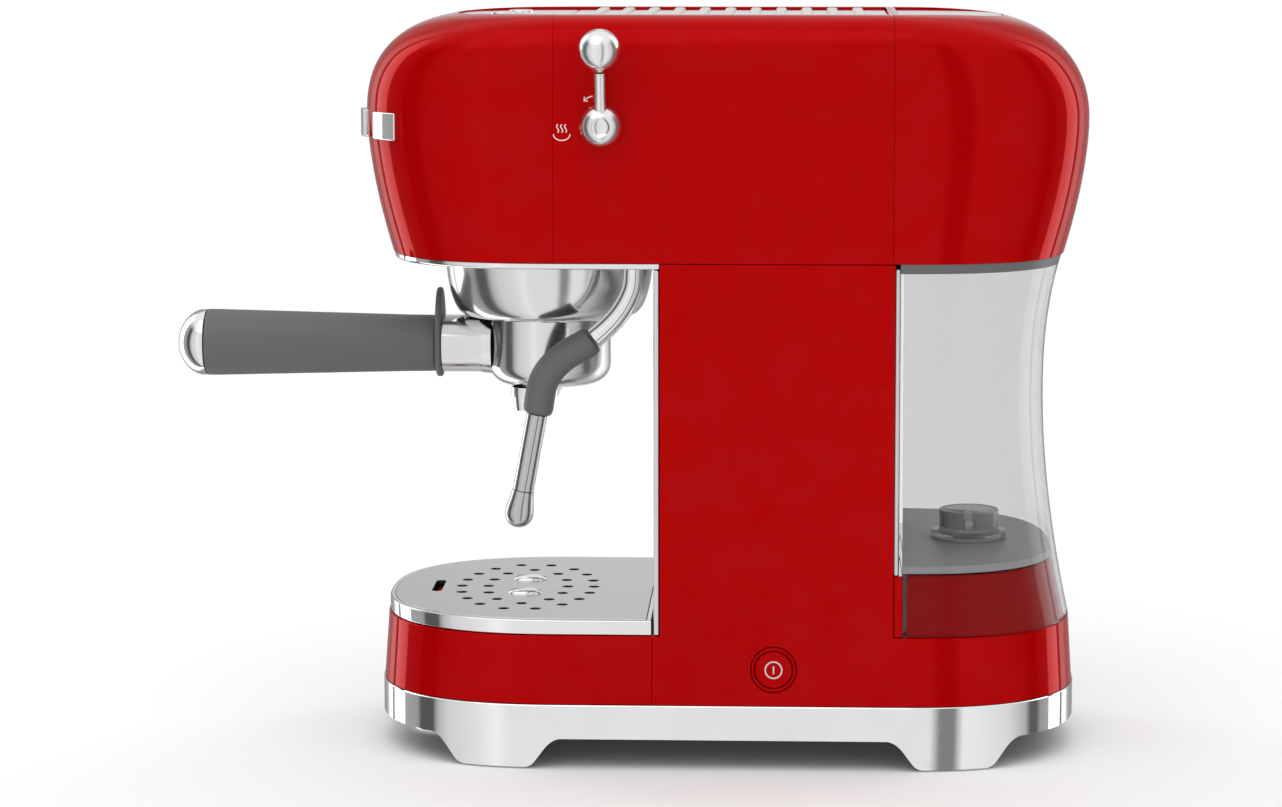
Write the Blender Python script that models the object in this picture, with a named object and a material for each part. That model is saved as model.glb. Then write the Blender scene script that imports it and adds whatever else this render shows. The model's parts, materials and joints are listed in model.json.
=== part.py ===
"""Slim pump espresso machine with a rear water tank, a drip tray, a portafilter and a steam wand.

Lengths are millimetres in the machine's own frame, and MM turns them into Blender's metres.
X runs across (the steam lever is on +X), -Y is the front, +Z is up and Z = 0 is the worktop.
The root empty then puts the whole machine's footprint centre at the world origin.
"""

import math

import bmesh
import bpy
from mathutils import Matrix, Vector

MM = 0.001
GAP = 0.3  # clearance between pieces that touch

# ---- plan shape: straight sides and superellipse ends ----
END_STEPS = 14
END_POWER = 2.5
END_CENTER = 70.6
HALF_WIDTH = 75.0
WALL = 2.5

# ---- base ----
SKIRT_HALF_WIDTH = 77.0
SKIRT_TIP = 156.0
SKIRT_TOP = 28.6
SKIRT_EDGE = 13.6
SKIRT_WALL = 2.8
SKIRT_BOTTOM = 0.8
FOOT_SLOPE = 13.5
FRONT_FOOT = (-116.7, -84.7)
REAR_FOOT = (83.8, 116.8)
PAD_RADIUS = 7.0
PAD_X = 61.0
PAD_FRONT_Y = -100.5
PAD_REAR_Y = 100.5
CENTER_FOOT_Y = -130.0
CENTER_FOOT_RADIUS = 14.0
FLOOR_BOTTOM = 14.7
FLOOR_TOP = 18.0
BAND_BOTTOM = SKIRT_TOP + GAP
BAND_TOP = 59.0
BAND_HALF_WIDTH = 76.5
BAND_TIP = 155.5
BAND_TOP_TIP = 153.5
TRAY_SPLIT = -31.0

# ---- column, pedestal and tank ----
COLUMN_FRONT = -28.1
COLUMN_REAR = 73.1
COLUMN_TOP = 221.4
PANEL_FRONT = -30.8
PEDESTAL_TOP = 86.5
PEDESTAL_FRONT = 79.0
TANK_FRONT = 75.3
TANK_TOP = 219.5
TANK_FLOOR = (87.0, 90.5)
TANK_WAIST_Z = 160.0
TANK_WAIST_Y = 141.1
TANK_FLARE_UP = (7.6, 61.0, 2.4)  # how far out, over what height, to what power
TANK_FLARE_DOWN = (12.4, 101.0, 1.8)
VALVE_Y = 109.0
SEAT_HOLE_RADIUS = 9.5
CORD_PLACE = (-50.0, 141.4, 40.0)  # on the rear band, off to the left
CORD_AXIS = (-0.608, 0.794, 0.0)  # square to the band there
CORD_HOLE_RADIUS = 5.6

# ---- head ----
HEAD_BOTTOM = 221.8
HEAD_TOP = 327.8
HEAD_CENTER = 75.0
HEAD_TIP_FRONT = 161.5
HEAD_TIP_REAR = 160.5
HEAD_BULGE_FRONT = 283.0
HEAD_BULGE_REAR = 280.0
HEAD_SHOULDER = 18.0  # side corner radius
HEAD_CROWN = 55.0  # how far the front and rear tips draw in towards the top
HEAD_WALL = 2.6
HEAD_LEVELS = (
    HEAD_BOTTOM, 235.0, 250.0, 266.0, 283.0, 297.0, 308.0, 315.5, 321.0, 325.0, 327.1, HEAD_TOP,
)
LEAN = 0.0130  # how fast the tips lean in below their bulge
LEAN_POWER = 1.65
CROWN_POWER_FRONT = 2.4
CROWN_POWER_REAR = 2.2
FAR = 200.0  # past the machine on any side
FRONT_SEAM = -73.9
REAR_SEAM = 72.1
SEAM_GAP = 0.5
UNDERPLATE = (219.0, 221.5)
PLATE_HALF_WIDTH = 50.0
PLATE_FRONT = -120.0
PLATE_REAR = 121.5
PLATE_SEAM = -70.0
CUP_PLATE_REAR = 70.5
LID_PLATE_FRONT = 75.2
PLATE_CLEARANCE = 0.4
PLATE_Z = (324.9, 326.3)
POCKET_CLEARANCE = 0.5
RIB_COUNT = 11
RIB_PITCH = 11.6
RIB_WIDTH = 4.8
RIB_TOP = 327.7
BADGE_Z = 279.0
BUTTON_RADIUS = 6.0
BUTTON_PLACES = ((-26.0, -95.0), (0.0, -101.0), (26.0, -95.0))

# ---- group and portafilter ----
GROUP_Y = -80.6
BOWL_RADIUS = 46.6
BOWL_TOP = 218.7
BOWL_BOTTOM = 191.5
GROUP_BORE = 32.0
FILTER_RADIUS = 27.5
FILTER_BOTTOM = 160.0
FILTER_TOP = 203.0
HANDLE_Z = 177.6
NECK_RADIUS = 12.9
NECK_END = -128.7
GUARD = (-131.6, -129.0)
GRIP_END = -236.0
GRIP_RADII = (12.6, 14.95)
HANDLE_TIP = -249.3

# ---- steam wand and lever ----
WAND_X = 52.0
WAND_Y = -40.0
WAND_BALL_Z = 224.4
WAND_BALL_RADIUS = 6.2
WAND_TUBE_RADIUS = 4.1
WAND_GRIP_RADIUS = 6.2
LEVER_Y = -53.0
LEVER_Z = 281.0
LEVER_HOLE_RADIUS = 4.6
KNOB_RADIUS = 9.25
KNOB_CENTER = (88.0, LEVER_Y, 313.6)

# ---- power button ----
POWER_Y = 21.4
POWER_Z = 44.8
POWER_RADIUS = 8.2
POWER_HOLE_RADIUS = 10.2

# ---- drip tray ----
TRAY_BACK = TRAY_SPLIT - SEAM_GAP
RIM_TOP = 65.8
BASIN_INSET = 2.6
BASIN_TIP = BAND_TOP_TIP - BASIN_INSET - 0.4
GRATE = (64.2, 66.0)
RING_CENTER_Y = -91.0
HOLE_RADIUS = 2.5
OUTER_RING = (18, 52.0, 30.1)  # holes, semi-axis across, semi-axis fore and aft
INNER_RING = (12, 39.0, 18.1)
FLOAT_Y = -131.7

MACHINE_CENTER = Vector((
    (KNOB_CENTER[0] + KNOB_RADIUS - SKIRT_HALF_WIDTH) / 2,
    (HEAD_TIP_REAR + HANDLE_TIP) / 2,
    0.0,
))


# ---------------------------------------------------------------- scene and materials

def clear_scene():
    for obj in list(bpy.data.objects):
        bpy.data.objects.remove(obj, do_unlink=True)


def principled(name, color, roughness, metallic=0.0, transmission=0.0):
    material = bpy.data.materials.new(name)
    material.use_nodes = True
    shader = material.node_tree.nodes["Principled BSDF"]
    shader.inputs["Base Color"].default_value = (*color, 1.0)
    shader.inputs["Roughness"].default_value = roughness
    shader.inputs["Metallic"].default_value = metallic
    shader.inputs["Transmission Weight"].default_value = transmission
    return material


def make_materials():
    return {
        "red": principled("gloss_red", (0.48, 0.001, 0.003), 0.08),
        "chrome": principled("chrome", (0.80, 0.80, 0.81), 0.06, 1.0),
        "steel": principled("brushed_steel", (0.60, 0.60, 0.60), 0.32, 1.0),
        "plate": principled("satin_plate", (0.82, 0.82, 0.82), 0.30, 1.0),
        "grey": principled("soft_grey", (0.13, 0.13, 0.135), 0.50),
        "black": principled("black_plastic", (0.02, 0.02, 0.02), 0.45),
        "rubber": principled("dark_rubber", (0.03, 0.03, 0.03), 0.75),
        "trim": principled("light_trim", (0.70, 0.70, 0.70), 0.35),
        "tank": principled("smoked_clear", (0.62, 0.62, 0.63), 0.05, 0.0, 0.9),
        "cast": principled("cast_aluminium", (0.55, 0.56, 0.57), 0.42, 1.0),
        "brass": principled("brass", (0.72, 0.52, 0.22), 0.28, 1.0),
        "board": principled("circuit_board", (0.02, 0.16, 0.06), 0.50),
        "hose": principled("silicone_hose", (0.75, 0.75, 0.72), 0.50),
    }


# ---------------------------------------------------------------- bodies and mesh helpers

def make_body(name, origin=(0.0, 0.0, 0.0), parent=None):
    """An empty at a moving body's joint, so that its pieces turn or slide about it."""
    empty = bpy.data.objects.new(name, None)
    bpy.context.scene.collection.objects.link(empty)
    empty["origin_mm"] = origin
    base = Vector(parent["origin_mm"]) if parent else MACHINE_CENTER
    empty.location = (Vector(origin) - base) * MM
    empty.parent = parent
    return empty


def add_object(name, mesh_bm, material, body):
    """Closes up a bmesh drawn in machine millimetres as an object on a body."""
    bmesh.ops.recalc_face_normals(mesh_bm, faces=mesh_bm.faces)
    bmesh.ops.translate(mesh_bm, verts=mesh_bm.verts, vec=-Vector(body["origin_mm"]))
    bmesh.ops.scale(mesh_bm, verts=mesh_bm.verts, vec=(MM, MM, MM))
    mesh = bpy.data.meshes.new(name)
    mesh_bm.to_mesh(mesh)
    mesh_bm.free()
    mesh.shade_smooth()
    mesh.set_sharp_from_angle(angle=math.radians(32))
    obj = bpy.data.objects.new(name, mesh)
    bpy.context.scene.collection.objects.link(obj)
    obj.parent = body
    if material:
        mesh.materials.append(material)
    else:
        obj.hide_render = True
        obj.display_type = "WIRE"
    return obj


def skin_loops(mesh_bm, loops, ring=False):
    """Joins outlines of equal length into one closed surface, capped at both ends or joined as a ring."""
    rows = [[mesh_bm.verts.new(point) for point in loop] for loop in loops]
    count = len(rows[0])
    pairs = list(zip(rows, rows[1:]))
    if ring:
        pairs.append((rows[-1], rows[0]))
    else:
        mesh_bm.faces.new(rows[0][::-1])
        mesh_bm.faces.new(rows[-1])
    for lower, upper in pairs:
        for i in range(count):
            j = (i + 1) % count
            mesh_bm.faces.new((lower[i], lower[j], upper[j], upper[i]))


def lofted(name, loops, material, body, ring=False):
    mesh_bm = bmesh.new()
    skin_loops(mesh_bm, loops, ring)
    return add_object(name, mesh_bm, material, body)


def turn_profile(mesh_bm, profile, steps, matrix, closed):
    """Turns (radius, height) points about Z, and moves the result by the matrix."""
    rows = []
    for radius, height in profile:
        if radius == 0.0:
            rows.append([mesh_bm.verts.new(matrix @ Vector((0.0, 0.0, height)))])
            continue
        row = []
        for i in range(steps):
            angle = 2 * math.pi * i / steps
            point = Vector((radius * math.cos(angle), radius * math.sin(angle), height))
            row.append(mesh_bm.verts.new(matrix @ point))
        rows.append(row)
    pairs = list(zip(rows, rows[1:]))
    if closed:
        pairs.append((rows[-1], rows[0]))
    for lower, upper in pairs:
        for i in range(steps):
            j = (i + 1) % steps
            if len(lower) == 1 and len(upper) == 1:
                continue
            if len(lower) == 1:
                mesh_bm.faces.new((lower[0], upper[j], upper[i]))
            elif len(upper) == 1:
                mesh_bm.faces.new((lower[i], lower[j], upper[0]))
            else:
                mesh_bm.faces.new((lower[i], lower[j], upper[j], upper[i]))


def turned(name, profile, material, body, at=(0.0, 0.0, 0.0), axis=(0.0, 0.0, 1.0), steps=24, closed=False):
    """A solid of revolution about an axis through a point; closed joins the profile's ends as a ring."""
    mesh_bm = bmesh.new()
    rotation = Vector((0.0, 0.0, 1.0)).rotation_difference(Vector(axis)).to_matrix().to_4x4()
    turn_profile(mesh_bm, profile, steps, Matrix.Translation(at) @ rotation, closed)
    return add_object(name, mesh_bm, material, body)


def boxed(name, low, high, material, body, bevel=0.0):
    """A box between two corners, with its edges rounded where a bevel is given."""
    mesh_bm = bmesh.new()
    size = Vector(high) - Vector(low)
    bmesh.ops.create_cube(mesh_bm, size=1.0)
    bmesh.ops.scale(mesh_bm, verts=mesh_bm.verts, vec=size)
    bmesh.ops.translate(mesh_bm, verts=mesh_bm.verts, vec=(Vector(low) + Vector(high)) / 2)
    if bevel:
        bmesh.ops.bevel(
            mesh_bm, geom=mesh_bm.edges[:], offset=bevel, segments=2, profile=0.5, affect="EDGES"
        )
    return add_object(name, mesh_bm, material, body)


def prism(name, outline, start, end, axis, material, body):
    """Extrudes an outline of two coordinates along the third axis, named X, Y or Z."""
    order = {"X": lambda a, b, c: (c, a, b), "Y": lambda a, b, c: (a, c, b), "Z": lambda a, b, c: (a, b, c)}
    place = order[axis]
    loops = [[Vector(place(a, b, level)) for a, b in outline] for level in (start, end)]
    return lofted(name, loops, material, body)


def smooth_path(points, steps):
    """Catmull-Rom points through a route's own points."""
    route = [Vector(point) for point in points]
    route = [2 * route[0] - route[1], *route, 2 * route[-1] - route[-2]]
    path = []
    for a, b, c, d in zip(route, route[1:], route[2:], route[3:]):
        for i in range(steps):
            t = i / steps
            path.append(
                0.5 * (2 * b + (c - a) * t + (2 * a - 5 * b + 4 * c - d) * t * t
                       + (3 * b - a - 3 * c + d) * t ** 3)
            )
    path.append(route[-2])
    return path


def tube_along(name, path, radius, material, body, sides=12):
    """A round bar along the points of a path."""
    loops = []
    side = (path[1] - path[0]).orthogonal().normalized()
    for i, center in enumerate(path):
        ahead = (path[min(i + 1, len(path) - 1)] - path[max(i - 1, 0)]).normalized()
        side = (side - ahead * side.dot(ahead)).normalized()
        across = ahead.cross(side)
        angles = [2 * math.pi * k / sides for k in range(sides)]
        loops.append([center + radius * (math.cos(a) * side + math.sin(a) * across) for a in angles])
    return lofted(name, loops, material, body)


def tube(name, points, radius, material, body, steps=3, sides=8):
    """A round bar along a smooth route through a few points."""
    return tube_along(name, smooth_path(points, steps), radius, material, body, sides)


def boolean(obj, other, operation):
    modifier = obj.modifiers.new(f"{operation.lower()}_{other.name}", "BOOLEAN")
    modifier.operation = operation
    modifier.object = other
    modifier.solver = "EXACT"


# ---------------------------------------------------------------- outlines

def end_arc(half_width, tip, depth, z, rear):
    """The superellipse end of a plan outline, from side to side."""
    sign = 1.0 if rear else -1.0
    arc = []
    for i in range(END_STEPS + 1):
        angle = math.pi * i / END_STEPS
        cosine = math.cos(angle)
        across = math.copysign(abs(cosine) ** (2 / END_POWER), cosine)
        along = max(math.sin(angle), 0.0) ** (2 / END_POWER)
        arc.append(Vector((-sign * half_width * across, sign * (tip - depth + depth * along), z)))
    return arc


def full_outline(half_width, front, rear, z, center=END_CENTER):
    """Both ends rounded: the front tip is at -front and the rear tip at +rear."""
    return [
        *end_arc(half_width, front, front - center, z, False),
        *end_arc(half_width, rear, rear - center, z, True),
    ]


def front_outline(half_width, front, back, z, center=END_CENTER):
    """Rounded front end and a straight back edge at Y = back."""
    return [
        *end_arc(half_width, front, front - center, z, False),
        Vector((-half_width, back, z)),
        Vector((half_width, back, z)),
    ]


def rear_outline(half_width, front, rear, z, center=END_CENTER):
    """Straight front edge at Y = front and a rounded rear end that starts behind it."""
    center = max(center, front + 0.5)
    return [
        Vector((half_width, front, z)),
        Vector((-half_width, front, z)),
        *end_arc(half_width, rear, rear - center, z, True),
    ]


def head_half_width(z):
    """Straight sides that round over at the shoulder."""
    rise = max(z - (HEAD_TOP - HEAD_SHOULDER), 0.0) / HEAD_SHOULDER
    return HALF_WIDTH - HEAD_SHOULDER * (1 - math.sqrt(1 - rise ** 2))


def head_tip(z, widest, bulge, power):
    """How far an end stands from the middle: it leans in below its bulge and rounds over above it."""
    if z <= bulge:
        return widest - LEAN * (bulge - z) ** LEAN_POWER
    rise = (z - bulge) / (HEAD_TOP - bulge)
    return widest - HEAD_CROWN * (1 - (1 - rise ** power) ** (1 / power))


def head_outline(z, inset=0.0, at=None):
    """The head's outline at height z, drawn in by inset, placed at another height if given."""
    half_width = head_half_width(z) - inset
    front = head_tip(z, HEAD_TIP_FRONT, HEAD_BULGE_FRONT, CROWN_POWER_FRONT) - inset
    rear = head_tip(z, HEAD_TIP_REAR, HEAD_BULGE_REAR, CROWN_POWER_REAR) - inset
    center = HEAD_CENTER - (HALF_WIDTH - head_half_width(z))
    return full_outline(half_width, front, rear, z if at is None else at, center)


def tank_tip(z):
    """The tank's back is drawn in at its waist and flares towards the base."""
    out, height, power = TANK_FLARE_UP if z >= TANK_WAIST_Z else TANK_FLARE_DOWN
    return TANK_WAIST_Y + out * (abs(z - TANK_WAIST_Z) / height) ** power


def foot_flank(foot_y, direction):
    """A foot's side from the worktop up to the skirt's lower edge, with a hollow curve at the top."""
    half = FOOT_SLOPE / 3
    low = Vector((foot_y, SKIRT_BOTTOM))
    start = Vector((foot_y + direction * half, SKIRT_EDGE / 2))
    corner = Vector((foot_y + direction * 2 * half, SKIRT_EDGE))
    end = Vector((foot_y + direction * FOOT_SLOPE, SKIRT_EDGE))
    curve = []
    for t in (0, 0.25, 0.5, 0.75, 1):
        curve.append(start * (1 - t) ** 2 + corner * 2 * t * (1 - t) + end * t * t)
    below = low + (low - start) * 0.5
    return [tuple(below), *map(tuple, curve)]


# ---------------------------------------------------------------- base

def build_base_skirt(mats, machine):
    inner_width = SKIRT_HALF_WIDTH - SKIRT_WALL
    inner_tip = SKIRT_TIP - SKIRT_WALL
    loops = [
        full_outline(SKIRT_HALF_WIDTH - 0.4, SKIRT_TIP - 0.4, SKIRT_TIP - 0.4, SKIRT_BOTTOM),
        full_outline(SKIRT_HALF_WIDTH, SKIRT_TIP, SKIRT_TIP, SKIRT_EDGE),
        full_outline(SKIRT_HALF_WIDTH, SKIRT_TIP, SKIRT_TIP, SKIRT_TOP),
        full_outline(inner_width, inner_tip, inner_tip, SKIRT_TOP),
        full_outline(inner_width, inner_tip, inner_tip, SKIRT_BOTTOM),
    ]
    skirt = lofted("base_skirt", loops, mats["chrome"], machine, ring=True)
    past_end = SKIRT_TIP + 10
    below = -6.0  # the cutters reach under the worktop
    front = [(-past_end, below), *foot_flank(FRONT_FOOT[0], -1), (-past_end, SKIRT_EDGE)]
    middle = [*foot_flank(FRONT_FOOT[1], 1), *foot_flank(REAR_FOOT[0], -1)[::-1]]
    rear = [(past_end, below), *foot_flank(REAR_FOOT[1], 1), (past_end, SKIRT_EDGE)]
    for name, arch in (("front", front), ("middle", middle), ("rear", rear)):
        cutter = prism(f"cut_arch_{name}", arch, -90.0, 90.0, "X", None, machine)
        boolean(skirt, cutter, "DIFFERENCE")


def build_feet(mats, machine):
    top = FLOOR_BOTTOM - GAP
    profile = [(0, 0), (PAD_RADIUS - 0.8, 0), (PAD_RADIUS, 0.8), (PAD_RADIUS, top), (0, top)]
    places = {
        "foot_pad_front_right": (PAD_X, PAD_FRONT_Y, 0),
        "foot_pad_front_left": (-PAD_X, PAD_FRONT_Y, 0),
        "foot_pad_rear_right": (PAD_X, PAD_REAR_Y, 0),
        "foot_pad_rear_left": (-PAD_X, PAD_REAR_Y, 0),
    }
    for name, place in places.items():
        turned(name, profile, mats["rubber"], machine, at=place, steps=16)
    radius = CENTER_FOOT_RADIUS
    low = SKIRT_BOTTOM
    center = [(0, low), (radius - 1.5, low), (radius, low + 1.2), (radius, top), (0, top)]
    turned("foot_front_center", center, mats["chrome"], machine, at=(0, CENTER_FOOT_Y, 0), steps=24)


def build_base_floor(mats, machine):
    width = SKIRT_HALF_WIDTH - SKIRT_WALL - GAP
    tip = SKIRT_TIP - SKIRT_WALL - GAP
    loops = [full_outline(width, tip, tip, z) for z in (FLOOR_BOTTOM, FLOOR_TOP)]
    lofted("base_floor", loops, mats["black"], machine)


def build_body_shell(mats, machine):
    """The red rear band, column and tank pedestal are one moulding, hollow and open underneath."""
    front = TRAY_SPLIT
    shell = lofted(
        "body_shell",
        [
            rear_outline(BAND_HALF_WIDTH, front, BAND_TIP, BAND_BOTTOM),
            rear_outline(HALF_WIDTH + 0.1, front, BAND_TOP_TIP + 0.2, BAND_TOP - 1.0),
            rear_outline(HALF_WIDTH - 0.5, front, BAND_TOP_TIP - 0.6, BAND_TOP),
        ],
        mats["red"],
        machine,
    )
    sunk = BAND_TOP - 4
    column = boxed(
        "add_column",
        (-HALF_WIDTH, COLUMN_FRONT, sunk),
        (HALF_WIDTH, COLUMN_REAR, COLUMN_TOP),
        None,
        machine,
    )
    boolean(shell, column, "UNION")
    pedestal_levels = (sunk, PEDESTAL_TOP - 2, PEDESTAL_TOP)
    insets = (WALL + 1.2, WALL + 1.2, WALL + 3.2)
    pedestal = lofted(
        "add_pedestal",
        [
            rear_outline(HALF_WIDTH - inset, PEDESTAL_FRONT, tank_tip(z) - inset, z)
            for z, inset in zip(pedestal_levels, insets)
        ],
        None,
        machine,
    )
    boolean(shell, pedestal, "UNION")
    base_room = lofted(
        "cut_base_room",
        [
            rear_outline(BAND_HALF_WIDTH - WALL, front + WALL, BAND_TIP - WALL, BAND_BOTTOM - 4),
            rear_outline(HALF_WIDTH - WALL, front + WALL, BAND_TOP_TIP - WALL - 2, BAND_TOP - WALL),
        ],
        None,
        machine,
    )
    boolean(shell, base_room, "DIFFERENCE")
    column_room = boxed(
        "cut_column_room",
        (-HALF_WIDTH + WALL, COLUMN_FRONT + WALL, BAND_TOP - 8),
        (HALF_WIDTH - WALL, COLUMN_REAR - WALL, COLUMN_TOP + 5),
        None,
        machine,
    )
    boolean(shell, column_room, "DIFFERENCE")
    room_inset = 2 * WALL + 1.2
    pedestal_room = lofted(
        "cut_pedestal_room",
        [
            rear_outline(HALF_WIDTH - room_inset, PEDESTAL_FRONT + WALL, tank_tip(z) - room_inset, z)
            for z in (BAND_TOP - 8, PEDESTAL_TOP - WALL)
        ],
        None,
        machine,
    )
    boolean(shell, pedestal_room, "DIFFERENCE")
    seat_hole = turned(
        "cut_seat_hole",
        [(0, 80), (SEAT_HOLE_RADIUS, 80), (SEAT_HOLE_RADIUS, 95), (0, 95)],
        None,
        machine,
        at=(0, VALVE_Y, 0),
        steps=20,
    )
    boolean(shell, seat_hole, "DIFFERENCE")
    power_hole = turned(
        "cut_power_hole",
        [(0, 66), (POWER_HOLE_RADIUS, 66), (POWER_HOLE_RADIUS, 80), (0, 80)],
        None,
        machine,
        at=(0, POWER_Y, POWER_Z),
        axis=(1, 0, 0),
    )
    boolean(shell, power_hole, "DIFFERENCE")
    cord_hole = turned(
        "cut_cord_hole",
        [(0, -12), (CORD_HOLE_RADIUS, -12), (CORD_HOLE_RADIUS, 8), (0, 8)],
        None,
        machine,
        at=CORD_PLACE,
        axis=CORD_AXIS,
        steps=16,
    )
    boolean(shell, cord_hole, "DIFFERENCE")


def build_cord_gland(mats, machine):
    """The mains lead's bush: a stem through the shell, a flange and a short sleeve with a bore."""
    stem = CORD_HOLE_RADIUS - GAP
    bore = 3.6
    profile = [
        (bore, -7.0), (stem, -7.0), (stem, 0.5), (8.0, 0.5), (8.0, 1.9), (5.0, 2.6), (5.0, 4.8), (bore, 4.8),
    ]
    turned(
        "cord_gland",
        profile,
        mats["rubber"],
        machine,
        at=CORD_PLACE,
        axis=CORD_AXIS,
        steps=16,
        closed=True,
    )


def build_column_trim(mats, machine):
    low = BAND_TOP + GAP
    boxed(
        "column_front_panel",
        (-HALF_WIDTH + 0.3, PANEL_FRONT, low),
        (HALF_WIDTH - 0.3, COLUMN_FRONT - GAP, UNDERPLATE[0] - GAP),
        mats["steel"],
        machine,
        bevel=0.7,
    )
    boxed(
        "column_rear_trim",
        (-HALF_WIDTH + 0.6, COLUMN_REAR + GAP, low),
        (HALF_WIDTH - 0.6, TANK_FRONT - GAP, TANK_TOP),
        mats["trim"],
        machine,
        bevel=0.4,
    )


# ---------------------------------------------------------------- head

def head_cavity(name, start, end, machine):
    """The hollow inside the head between two values of Y."""
    levels = [(HEAD_BOTTOM, HEAD_BOTTOM - 5)]
    for z in HEAD_LEVELS[2:-1]:
        rise = max(z - HEAD_BULGE_FRONT - 2, 0.0) / (HEAD_TOP - HEAD_BULGE_FRONT - 2)
        levels.append((z, z - HEAD_WALL * rise))
    cavity = lofted(name, [head_outline(z, HEAD_WALL, at) for z, at in levels], None, machine)
    slab = boxed(f"{name}_slab", (-FAR, start, 200), (FAR, end, 340), None, machine)
    boolean(cavity, slab, "INTERSECT")
    return cavity


def recess(name, front, rear, machine):
    """The shallow pocket in the head's top that holds a plate, rounded at the tips it includes."""
    pocket = lofted(
        name,
        [
            full_outline(
                PLATE_HALF_WIDTH + POCKET_CLEARANCE,
                -PLATE_FRONT + POCKET_CLEARANCE,
                PLATE_REAR + POCKET_CLEARANCE,
                z,
                HEAD_CENTER,
            )
            for z in (PLATE_Z[0] - GAP, HEAD_TOP + 5)
        ],
        None,
        machine,
    )
    slab = boxed(f"{name}_slab", (-FAR, front, 300), (FAR, rear, 340), None, machine)
    boolean(pocket, slab, "INTERSECT")
    return pocket


def head_section(name, outside, inside, pocket, mats, body, machine):
    """One red cover of the head: a hollow slice with the top pocket, each between two values of Y."""
    cover = lofted(name, [head_outline(z) for z in HEAD_LEVELS], mats["red"], body)
    slab = boxed(f"keep_{name}", (-FAR, outside[0], 200), (FAR, outside[1], 340), None, machine)
    boolean(cover, slab, "INTERSECT")
    boolean(cover, head_cavity(f"cut_{name}_room", *inside, machine), "DIFFERENCE")
    boolean(cover, recess(f"cut_{name}_pocket", *pocket, machine), "DIFFERENCE")
    return cover


def button_cutter(name, body):
    mesh_bm = bmesh.new()
    radius = BUTTON_RADIUS + 0.4
    profile = [(0, 315), (radius, 315), (radius, 335), (0, 335)]
    for x, y in BUTTON_PLACES:
        turn_profile(mesh_bm, profile, 16, Matrix.Translation((x, y, 0)), False)
    return add_object(name, mesh_bm, None, body)


def build_head(mats, machine, tank_lid):
    front_end = FRONT_SEAM - SEAM_GAP / 2
    middle_start = FRONT_SEAM + SEAM_GAP / 2
    middle_end = REAR_SEAM - SEAM_GAP / 2
    lid_start = REAR_SEAM + SEAM_GAP / 2
    everywhere = (-FAR, FAR)
    front = head_section(
        "head_front_cover", (-FAR, front_end), everywhere, everywhere, mats, machine, machine
    )
    boolean(front, button_cutter("cut_front_buttons", machine), "DIFFERENCE")
    middle = head_section(
        "head_middle_cover",
        (middle_start, middle_end),
        (-FAR, middle_end - WALL),
        (-FAR, CUP_PLATE_REAR + PLATE_CLEARANCE),
        mats,
        machine,
        machine,
    )
    lever_hole = turned(
        "cut_lever_hole",
        [(0, 60), (LEVER_HOLE_RADIUS, 60), (LEVER_HOLE_RADIUS, 80), (0, 80)],
        None,
        machine,
        at=(0, LEVER_Y, LEVER_Z),
        axis=(1, 0, 0),
        steps=16,
    )
    boolean(middle, lever_hole, "DIFFERENCE")
    head_section(
        "tank_lid",
        (lid_start, FAR),
        (lid_start + WALL, FAR),
        (LID_PLATE_FRONT - POCKET_CLEARANCE, FAR),
        mats,
        tank_lid,
        machine,
    )


def build_underplate(mats, machine):
    """Chrome plate under the head's overhang, with openings for the brew pipe and the wand's ball."""
    tip = head_tip(HEAD_BOTTOM, HEAD_TIP_FRONT, HEAD_BULGE_FRONT, CROWN_POWER_FRONT)
    back = COLUMN_FRONT - GAP
    plate = lofted(
        "head_underplate",
        [
            front_outline(HALF_WIDTH - 1.2, tip - 1.4, back, UNDERPLATE[0], HEAD_CENTER),
            front_outline(HALF_WIDTH - 0.4, tip - 0.6, back, UNDERPLATE[0] + 0.9, HEAD_CENTER),
            front_outline(HALF_WIDTH - 0.4, tip - 0.6, back, UNDERPLATE[1], HEAD_CENTER),
        ],
        mats["chrome"],
        machine,
    )
    mesh_bm = bmesh.new()
    for x, y, radius in ((0, GROUP_Y, 5.0), (WAND_X, WAND_Y, 6.6)):
        profile = [(0, 210), (radius, 210), (radius, 230), (0, 230)]
        turn_profile(mesh_bm, profile, 20, Matrix.Translation((x, y, 0)), False)
    boolean(plate, add_object("cut_underplate", mesh_bm, None, machine), "DIFFERENCE")


def build_top_plates(mats, machine, tank_lid):
    width = PLATE_HALF_WIDTH
    front_tip = -PLATE_FRONT
    control = lofted(
        "control_plate",
        [front_outline(width, front_tip, PLATE_SEAM - PLATE_CLEARANCE, z, HEAD_CENTER) for z in PLATE_Z],
        mats["plate"],
        machine,
    )
    boolean(control, button_cutter("cut_plate_buttons", machine), "DIFFERENCE")
    plate = boxed(
        "cup_plate",
        (-width, PLATE_SEAM + PLATE_CLEARANCE, PLATE_Z[0]),
        (width, CUP_PLATE_REAR, PLATE_Z[1]),
        mats["plate"],
        machine,
    )
    rib_end = width - 3.0
    ribs = bmesh.new()
    for i in range(RIB_COUNT):
        center = (i - (RIB_COUNT - 1) / 2) * RIB_PITCH
        loops = [
            [
                Vector((x, center + y, z))
                for x, y in (
                    (rib_end - inset, -RIB_WIDTH / 2 + inset),
                    (rib_end - inset, RIB_WIDTH / 2 - inset),
                    (-rib_end + inset, RIB_WIDTH / 2 - inset),
                    (-rib_end + inset, -RIB_WIDTH / 2 + inset),
                )
            ]
            for z, inset in ((PLATE_Z[0] + 0.7, 0.0), (RIB_TOP - 0.5, 0.0), (RIB_TOP, 0.5))
        ]
        skin_loops(ribs, loops)
    boolean(plate, add_object("add_ribs", ribs, None, machine), "UNION")
    lofted(
        "lid_plate",
        [rear_outline(width, LID_PLATE_FRONT, PLATE_REAR, z) for z in PLATE_Z],
        mats["plate"],
        tank_lid,
    )


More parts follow.
